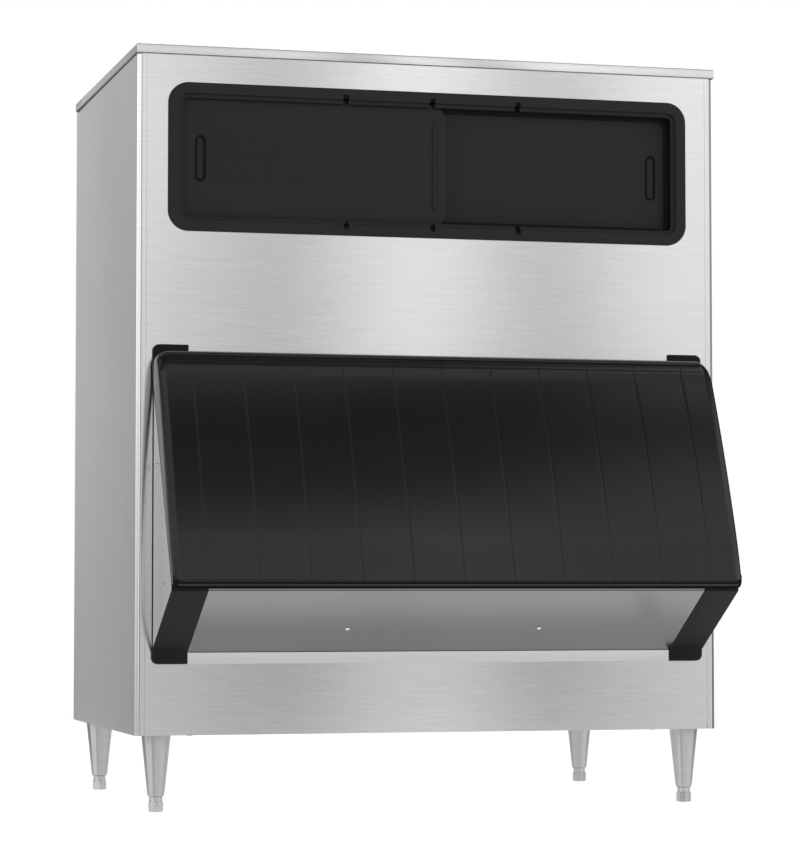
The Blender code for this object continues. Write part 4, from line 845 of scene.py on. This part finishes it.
def make_trough():
    """Folded sheet: down the slanted face, round the nose with a hem crease, and back along
    the slope to the skin; the bends are quarter-round and the sheet is SHEET thick."""
    below = np.array([-SLOPE_RUN[1], SLOPE_RUN[0]])
    face = slant(0, TROUGH_OUT)
    bend = face + RUN * ((NOSE_TOP[0] - face[0]) / RUN[0])
    gap = NOSE_LOW - below * TROUGH_DEPTH - face
    cross = RUN[0] * SLOPE_RUN[1] - RUN[1] * SLOPE_RUN[0]
    end = face + RUN * ((gap[0] * SLOPE_RUN[1] - gap[1] * SLOPE_RUN[0]) / cross)
    foot = NOSE_LOW + SLOPE_RUN * ((NOSE_LOW[0] - 0.3 * MM) / -SLOPE_RUN[0])
    nose = NOSE_TOP[0]
    outer = np.array([end, bend, (nose, 438.5 * MM), (nose - 1.2 * MM, 438.1 * MM),
                      (nose - 0.4 * MM, 437.35 * MM), NOSE_LOW + SLOPE_RUN * 1.0 * MM, foot])
    outer = eased(outer, np.array([1, 2.4, 0.3, 0.15, 0.1, 0.3, 1]) * MM, 6, closed=False)
    inner = offset_path(np.array([end, bend, NOSE_LOW, foot]), np.full(3, -SHEET))
    inner = eased(inner, np.array([1, 1.2, 1.2, 1]) * MM, 6, closed=False)
    sheet = side_bar("trough_fold", np.concatenate([outer, inner[::-1]]), -TROUGH_HALF, TROUGH_HALF)
    # The trough's look carries painted shade: a far darker grey than the skins.
    finished(sheet, "cabinet", TROUGH, "stainless", "trough_sheet")
    # Painted highlight: the nose's forward-facing faces get the lighter steel.
    second_look(sheet, NOSE_HIGHLIGHT, lambda middle, facing: (facing[:, 1] < -0.9) & (middle[:, 2] < 447 * MM))
    # Painted shade: the thin band along the hem crease under the nose gets the dark steel.
    second_look(sheet, SHADE_LINE, lambda middle, facing: (
        (middle[:, 2] > 437.2 * MM) & (middle[:, 2] < 438.46 * MM) & (middle[:, 1] < SKIN_Y - 211.8 * MM)))


def make_lip_strip():
    """Folded strip at the foot of the trough, with its front edges rounded."""
    outline = np.array([(0.3, 292.8), (4.0, 292.8), (4.0, 315.9), (0.3, 313.8)]) * MM
    outline = eased(outline, np.array([0.2, 0.6, 0.6, 0.2]) * MM, 5)
    strip = side_bar("lip_fold", outline, -TROUGH_HALF, TROUGH_HALF)
    return finished(strip, "cabinet", LIP_STEEL, "stainless", "throat_lip_strip")


# Cabinet skins

HALF_WIDTH = 607.3 * MM
REAR_Y = 508.7545 * MM
BASE_Z = 152.4 * MM
PANEL_TOP = 1522.5 * MM
CHAMFER = (8.1 * MM, 8.8 * MM)
CAP_HALF = 609.6 * MM
CAP_FRONT = SKIN_Y - 2.3 * MM
CAP_REAR = 511.0545 * MM
CAP_LOW, CAP_TOP = 1504.6 * MM, 1524.0 * MM
CAP_RIM = 90 * MM


def make_side_panel(side, sign):
    """Side skin: its plan, bent sheet with a chamfered front corner and an arc at every bend,
    is carried up from the base to the cap."""
    path = np.array([
        (HALF_WIDTH - 16 * MM, REAR_Y), (HALF_WIDTH, REAR_Y), (HALF_WIDTH, SKIN_Y + CHAMFER[1]),
        (HALF_WIDTH - CHAMFER[0], SKIN_Y), (HALF_WIDTH - 18.4 * MM, SKIN_Y)])
    outer = eased(path, np.array([1, 2.2, 2.6, 7.5, 1]) * MM, 8, closed=False)
    inner = offset_path(path, np.full(4, -SHEET))
    inner = eased(inner, np.array([1, 1.0, 1.4, 6.3, 1]) * MM, 8, closed=False)
    plan = np.concatenate([outer, inner[::-1]]) * (sign, 1)
    skin = capped_ribbon(f"side_skin_{side}", carried(plan, np.linspace(BASE_Z, PANEL_TOP, 3)))
    return finished(skin, "cabinet", SKIN, "stainless", f"side_panel_{side}")


def cap_groove(middle, facing):
    """Faces in the fine groove over the cap's lower edge, which get the dark steel of a painted shade line.
    """
    z = middle[:, 2]
    return (z < CAP_LOW + 1.62 * MM) & (z > CAP_LOW + 0.2 * MM) & (np.abs(facing[:, 2]) > 0.2)


def make_top_cap():
    """Folded top: its section, from the outer skirt with a fine groove over its lower edge
    to the lip round the ice drop opening, is carried round a rectangle that shrinks from
    the outer edge to the opening. A seam is cut down both front corners."""
    low, top = CAP_LOW, CAP_TOP
    section = np.array([
        (SHEET, low), (0.2 * MM, low), (0.2 * MM, low + 0.3 * MM), (0.85 * MM, low + 1.5 * MM),
        (0, low + 1.6 * MM), (0, top), (CAP_RIM, top), (CAP_RIM, low),
        (CAP_RIM - SHEET, low), (CAP_RIM - SHEET, top - SHEET), (SHEET, top - SHEET)])
    section = eased(section, np.array([0.05, 0.05, 0.05, 0.05, 0.03, 2.2, 2.2, 0.3, 0.3, 1.0, 1.0]) * MM, 5)
    share = section[:, 0] / CAP_RIM
    half_x = CAP_HALF - 89.8 * MM * share
    front = CAP_FRONT + 92.8 * MM * share
    rear = CAP_REAR - 94.3 * MM * share
    plans = round_rectangles(half_x, (rear - front) / 2, np.full(len(share), 1.6) * MM, 5)
    height = np.broadcast_to(section[:, 1][:, None], plans.shape[:2])
    rings = np.stack([plans[..., 0], plans[..., 1] + ((rear + front) / 2)[:, None], height], -1)
    cap = loft("cap_fold", rings, closed=True)
    seams = []
    for sign in (-1, 1):
        diamond = np.array([(-1, 0), (0, -1), (1, 0), (0, 1)]) * 0.9 * MM
        diamond += np.array([sign * 609.2 * MM, SKIN_Y - 1.9 * MM])
        seams.append(loft("seam", carried(diamond, (low - MM, top - 0.9 * MM))))
    carve(cap, seams)
    finished(cap, "cabinet", SKIN, "stainless", "top_cap")
    # Painted shade: the groove over the skirt's lower edge gets the dark steel.
    second_look(cap, SHADE_LINE, cap_groove)


# Legs and screws

LEG_X = 555.3 * MM
LEG_ROWS = (("front", -221.3455 * MM), ("rear", 466.6545 * MM))
HEX_HALF = 13.5 * MM
SCREW_RADIUS, SCREW_HEIGHT = 4.6 * MM, 2.5 * MM
SCREW_SINK = 0.3 * MM
CROSS_DEPTH = 0.95 * MM


def turned(name, profile, centre, sides=96):
    """Closed body of revolution: the (radius, height) profile swings once round its axis."""
    profile = np.asarray(profile, float)
    swing = np.linspace(0, 2 * math.pi, sides, endpoint=False)
    x = profile[:, 0][:, None] * np.cos(swing) + centre[0]
    y = profile[:, 0][:, None] * np.sin(swing) + centre[1]
    z = np.broadcast_to(profile[:, 1][:, None], x.shape)
    return loft(name, np.stack([x, y, z], -1), closed=True)


def make_leg(name, x, y):
    """Tapered sleeve with a rolled rim at its lower end and a bore for the foot's stem."""
    profile = np.array([
        (29.7, 156.8), (29.7, 153.2), (17.2, 36.0), (16.5, 34.6), (16.5, 31.0), (14.9, 31.0), (14.9, 91.0),
        (0.02, 91.0), (0.02, 156.8)]) * MM
    profile = eased(profile, np.array([0.2, 1.5, 1.2, 1.2, 0.5, 0.3, 0.3, 0.005, 0.005]) * MM, 4)
    sleeve = turned(f"leg_sleeve_{name}", profile, (x, y))
    return finished(sleeve, "cabinet", LEG, "zinc_steel", f"leg_{name}")


def make_foot(name, x, y):
    """Levelling foot: a hexagon with turned corners, a round collar above and a stem. Each
    ring is a circle, and in the hexagon the smaller of the circle and the hexagon, whose
    reach is its half width over the cosine of the angle from the nearest flat's middle."""
    swing = np.linspace(0, 2 * math.pi, 192, endpoint=False)
    wedge = (swing + math.pi / 6) % (math.pi / 3) - math.pi / 6
    hexagon = HEX_HALF / np.cos(wedge)
    head = np.array([
        (12.6, 0.0), (14.2, 0.5), (15.1, 1.9), (15.2, 3.0), (15.2, 18.4), (14.6, 19.7), (13.4, 20.5)]) * MM
    stem = np.array([(13.2, 20.5), (13.2, 30.0), (12.6, 30.7), (6.0, 30.7), (6.0, 76.2), (5.5, 76.7)]) * MM
    reach = np.concatenate([np.minimum(hexagon, head[:, :1]), stem[:, :1] * np.ones_like(hexagon)])
    height = np.broadcast_to(np.concatenate([head, stem])[:, 1:], reach.shape)
    rings = np.stack([reach * np.cos(swing) + x, reach * np.sin(swing) + y, height], -1)
    foot = loft(f"foot_body_{name}", rings, angle=28)
    return finished(foot, f"{name}_foot", ZINC, "zinc_steel", f"foot_{name}")


def make_screw(name, place, facing):
    """Domed head on a grid of radius and angle: its height falls off with the square of the
    radius, and a cross recess with sloping walls is pressed into it."""
    share = np.concatenate([np.linspace(0.01, 0.96, 34), [0.985, 1.0, 1.0]])[:, None]
    swing = np.linspace(0, 2 * math.pi, 72, endpoint=False)
    across = SCREW_RADIUS * share * np.cos(swing)
    up = SCREW_RADIUS * share * np.sin(swing)
    rise = SCREW_HEIGHT * (0.35 + 0.65 * (1 - share ** 2)) * np.ones_like(across)
    rise[-2:] = np.array([0.12, 0.0])[:, None] * SCREW_HEIGHT
    arms = []
    for p, q in ((across, up), (up, across)):
        narrow = 1 - smooth(np.abs(p), 0.45 * MM, 0.75 * MM)
        arms.append(narrow * (1 - smooth(np.abs(q), 1.9 * MM, 2.5 * MM)))
    rise -= CROSS_DEPTH * np.maximum(*arms) * (share < 0.9)
    facing = np.asarray(facing, float)
    side = np.cross(facing, (0.13, 0.21, 0.97))
    side /= np.linalg.norm(side)
    other = np.cross(facing, side)
    base = np.asarray(place, float) + facing * SCREW_SINK
    points = base + across[..., None] * side + up[..., None] * other + rise[..., None] * facing
    return finished(loft(f"{name}_head", points, angle=40), "cabinet", SCREW, "zinc_steel", name)


def make_screws():
    """Two screws in each cheek and two in the trough."""
    spot = NOSE_LOW + SLOPE_RUN * ((TROUGH_SCREW_FORWARD - NOSE_LOW[0]) / SLOPE_RUN[0])
    for side, sign in (("left", -1), ("right", 1)):
        for name, forward, height in CHEEK_SCREWS:
            place = (sign * CHEEK_HALF, SKIN_Y - forward, height)
            make_screw(f"cheek_screw_{side}_{name}", place, (sign, 0, 0))
        place = (sign * TROUGH_SCREW_X, SKIN_Y - spot[0], spot[1])
        make_screw(f"trough_screw_{side}", place, (0, SLOPE_RUN[1], SLOPE_RUN[0]))


make_door()
make_bezel()
make_window_panels()
make_trough()
make_lip_strip()
make_top_cap()
make_screws()
for side, sign in (("left", -1), ("right", 1)):
    make_side_frame(side, sign)
    make_side_panel(side, sign)
    for row, y in LEG_ROWS:
        make_leg(f"{row}_{side}", sign * LEG_X, y)
        make_foot(f"{row}_{side}", sign * LEG_X, y)


# Studio

YAW = math.radians(14.95)
PITCH = math.radians(3.06)
LENS = 128.04
VIEW_FROM = (-1.6413, -6.1649, 0.4454)
WALL_REACH = 14.0


def white_world():
    """The empty studio all round is plain white."""
    world = bpy.data.worlds.new("studio")
    bpy.context.scene.world = world
    world.use_nodes = True
    world.node_tree.nodes["Background"].inputs["Color"].default_value = (1, 1, 1, 1)


# The light wall's curves: angles in degrees and the glow there. The first two run round the
# object from its back (-180) over its left and its front (0) to its right, the third upwards.
# PEAK is above every level, because a colour ramp holds none over 1.
PEAK = 2.5
AZIMUTH_LEVELS = [
    (-180, 0.56), (-172, 0.56), (-168.6, 0.52), (-166, 0.51), (-158, 0.40), (-134, 0.08), (-122, 0.08),
    (-112, 0.60), (-102, 1.70), (-90, 1.75), (-84, 1.16), (-76, 1.16), (-70, 1.70), (-56, 1.70),
    (-46, 0.70), (-37, 0.22), (-29, 0.60), (-20, 1.00), (-10, 1.05), (3, 1.06), (7, 1.12), (24, 1.20),
    (36, 1.35), (44, 1.70), (66, 1.75), (78, 1.0), (90, 0.30), (106, 0.34), (122, 0.60), (140, 0.8)]
FRONT_LEVELS = [
    (4, 1.0), (6.5, 1.06), (7.9, 1.04), (9.9, 0.79), (10.8, 0.61), (11.4, 0.60), (12.2, 0.78),
    (13.2, 1.03), (14.4, 1.32), (15.3, 1.32), (16.3, 1.12), (17.2, 0.84), (18.0, 0.63), (18.6, 0.61),
    (19.4, 0.75), (20.2, 0.93), (21.2, 1.08), (22.4, 1.16), (24.0, 1.10), (27, 1.0)]
ELEVATION_LEVELS = [
    (-30, 0.48), (-6, 0.52), (-1.2, 0.60), (2.8, 0.76), (6, 0.91), (9.8, 1.0), (15.5, 1.12), (22, 1.12),
    (29, 0.80), (33, 0.62), (36, 0.64), (38.5, 0.63), (40.5, 0.54), (42.5, 0.36), (44.5, 0.21), (48, 0.15),
    (52, 0.15), (54.5, 0.40), (56.5, 0.54), (59.5, 0.56), (62, 0.28), (66, 0.15), (90, 0.15)]
# Soft spots added to the curves: angle round, angle up, half width, half height, glow.
SOFT_SPOTS = [
    (19.3, 38, 2.0, 3.4, 0.30), (36, 50.4, 5.0, 2.4, 0.68), (30, 43.5, 5.0, 2.6, 0.28),
    (28, 56.5, 3.0, 2.4, 0.14), (-14, 50, 14, 12, 0.60), (-167, -3, 10, 7, 0.13), (-171, 16, 5, 6, -0.06),
    (17, -4, 6, 5, -0.07), (25, 16, 6, 4, 0.14), (55, 16, 18, 14, -0.70), (98, -16, 9, 8, -0.22)]


class Glow(Look):
    """Look of the light wall, which glows by the direction in which each point lies."""

    def number(self, operation, a, b=None):
        """One step of arithmetic on two values, each a plain number or another node's socket."""
        node = self.add("ShaderNodeMath", operation=operation)
        for socket, value in zip(node.inputs, (a, b)):
            if isinstance(value, (int, float)):
                socket.default_value = value
            elif value is not None:
                self.link(value, socket)
        return node.outputs[0]

    def ramp(self, value, stops):
        """Smooth curve through the stops' levels; a colour ramp holds them as shares of PEAK."""
        low, high = stops[0][0], stops[-1][0]
        node = self.add("ShaderNodeValToRGB")
        node.color_ramp.interpolation = "CARDINAL"
        elements = node.color_ramp.elements
        elements[0].position, elements[-1].position = 0.0, 1.0
        for where, _ in stops[1:-1]:
            elements.new((where - low) / (high - low))
        for element, (_, level) in zip(elements, stops):
            element.color = (level / PEAK, level / PEAK, level / PEAK, 1)
        self.link(self.span(value, 0, 1, low, high), node.inputs["Fac"])
        return self.number("MULTIPLY", node.outputs["Color"], PEAK)

    def spot(self, across, up, where, height, wide, tall, level):
        """Soft spot: its level times e to the minus square of the distance in half widths."""
        number = self.number
        across_share = number("DIVIDE", number("SUBTRACT", across, where), wide)
        up_share = number("DIVIDE", number("SUBTRACT", up, height), tall)
        across_square = number("MULTIPLY", across_share, across_share)
        fall = number("ADD", across_square, number("MULTIPLY", up_share, up_share))
        return number("MULTIPLY", number("EXPONENT", number("MULTIPLY", fall, -1.0)), level)


def wall_glow():
    """The light wall's material: the curve round the object times the curve upwards. Low down
    the front's finer curve multiplies it too, and fades out between 22 and 32 degrees up.
    The soft spots are added."""
    look = Glow("light_wall")
    look.tree.nodes.remove(look.shader)
    number = look.number
    parts = look.add("ShaderNodeSeparateXYZ")
    look.link(look.place, parts.inputs[0])
    x, y, z = parts.outputs
    across = number("MULTIPLY", number("ARCTAN2", x, number("MULTIPLY", y, -1.0)), 180 / math.pi)
    flat = number("SQRT", number("ADD", number("MULTIPLY", x, x), number("MULTIPLY", y, y)))
    up = number("MULTIPLY", number("ARCTAN2", z, flat), 180 / math.pi)
    low_share = look.span(up, 1, 0, 22, 32)
    fine = number("MULTIPLY", number("SUBTRACT", look.ramp(across, FRONT_LEVELS), 1.0), low_share)
    level = number("MULTIPLY", look.ramp(across, AZIMUTH_LEVELS), number("ADD", fine, 1.0))
    level = number("MULTIPLY", level, look.ramp(up, ELEVATION_LEVELS))
    for values in SOFT_SPOTS:
        level = number("ADD", level, look.spot(across, up, *values))
    glow = look.add("ShaderNodeEmission")
    look.link(level, glow.inputs["Color"])
    look.link(glow.outputs[0], look.tree.nodes["Material Output"].inputs["Surface"])
    return look.material


def make_light_wall():
    """Large curved light wall round the object, far outside the view: part of a sphere about
    the frame's origin, a grid of angles round and up. It is brightest left and right of
    the front, and fades high up."""
    turn = np.radians(np.linspace(AZIMUTH_LEVELS[0][0], AZIMUTH_LEVELS[-1][0], 79))[:, None]
    rise = np.radians(np.linspace(ELEVATION_LEVELS[0][0], 89.9, 31))[None, :]
    points = WALL_REACH * np.stack([np.sin(turn) * np.cos(rise), -np.cos(turn) * np.cos(rise),
                                    np.sin(rise) * np.ones_like(turn)], -1)
    mesh = bpy.data.meshes.new("light_wall")
    rows, cols = points.shape[:2]
    corner = (np.arange(rows - 1)[:, None] * cols + np.arange(cols - 1)[None, :]).ravel()
    faces = np.stack([corner, corner + 1, corner + cols + 1, corner + cols], -1)
    mesh.from_pydata(points.reshape(-1, 3).tolist(), [], faces.tolist())
    wall = bpy.data.objects.new("light_wall", mesh)
    bpy.context.scene.collection.objects.link(wall)
    mesh.materials.append(wall_glow())


def make_floor():
    """Pale floor under the part of the studio that the view shows. Its own grey keeps a faint
    shadow, and its glow, a little weaker near the object, makes it white elsewhere."""
    away = np.array([math.sin(YAW), math.cos(YAW)])
    beside = np.array([math.cos(YAW), -math.sin(YAW)])
    corners = np.array([(-0.95, -1.35), (0.95, -1.35), (1.45, 3.2), (-1.45, 3.2)])
    plan = corners[:, :1] * beside + corners[:, 1:] * away
    floor = loft("studio_floor", carried(plan, (-0.02, -0.0002)))
    look = Look("pale_floor")
    look.shader.inputs["Base Color"].default_value = (0.25, 0.25, 0.25, 1)
    look.shader.inputs["Roughness"].default_value = 1.0
    look.shader.inputs["Specular IOR Level"].default_value = 0.0
    look.shader.inputs["Emission Color"].default_value = (1, 1, 1, 1)
    distance = look.add("ShaderNodeVectorMath", operation="LENGTH")
    look.link(look.place, distance.inputs[0])
    glow = look.span(distance.outputs["Value"], 0.91, 1.0, 0.9, 2.2)
    look.link(glow, look.shader.inputs["Emission Strength"])
    floor.data.materials.append(look.material)


def make_lamp(name, place, target, size, power):
    """Soft square lamp that faces a target point."""
    data = bpy.data.lights.new(name, "AREA")
    data.size = size
    data.energy = power
    lamp = bpy.data.objects.new(name, data)
    lamp.location = place
    lamp.rotation_euler = (Vector(target) - Vector(place)).to_track_quat("-Z", "Y").to_euler()
    bpy.context.scene.collection.objects.link(lamp)


def place_camera():
    """Camera at the photo's viewing angle, turned by the yaw and tipped up by the pitch."""
    data = bpy.data.cameras.new("photo_view")
    data.lens = LENS
    data.sensor_width = 36.0
    data.sensor_fit = "AUTO"
    data.clip_end = 60
    camera = bpy.data.objects.new("photo_view", data)
    camera.location = VIEW_FROM
    forward = Vector((math.sin(YAW) * math.cos(PITCH), math.cos(YAW) * math.cos(PITCH), math.sin(PITCH)))
    camera.rotation_euler = forward.to_track_quat("-Z", "Y").to_euler()
    bpy.context.scene.collection.objects.link(camera)
    bpy.context.scene.camera = camera


white_world()
make_light_wall()
make_floor()
make_lamp("left_lamp", (-5.5, -1.2, 2.0), (0, -0.2, 0.9), size=2.0, power=4.5)
place_camera()
bpy.context.scene.view_settings.view_transform = "Standard"
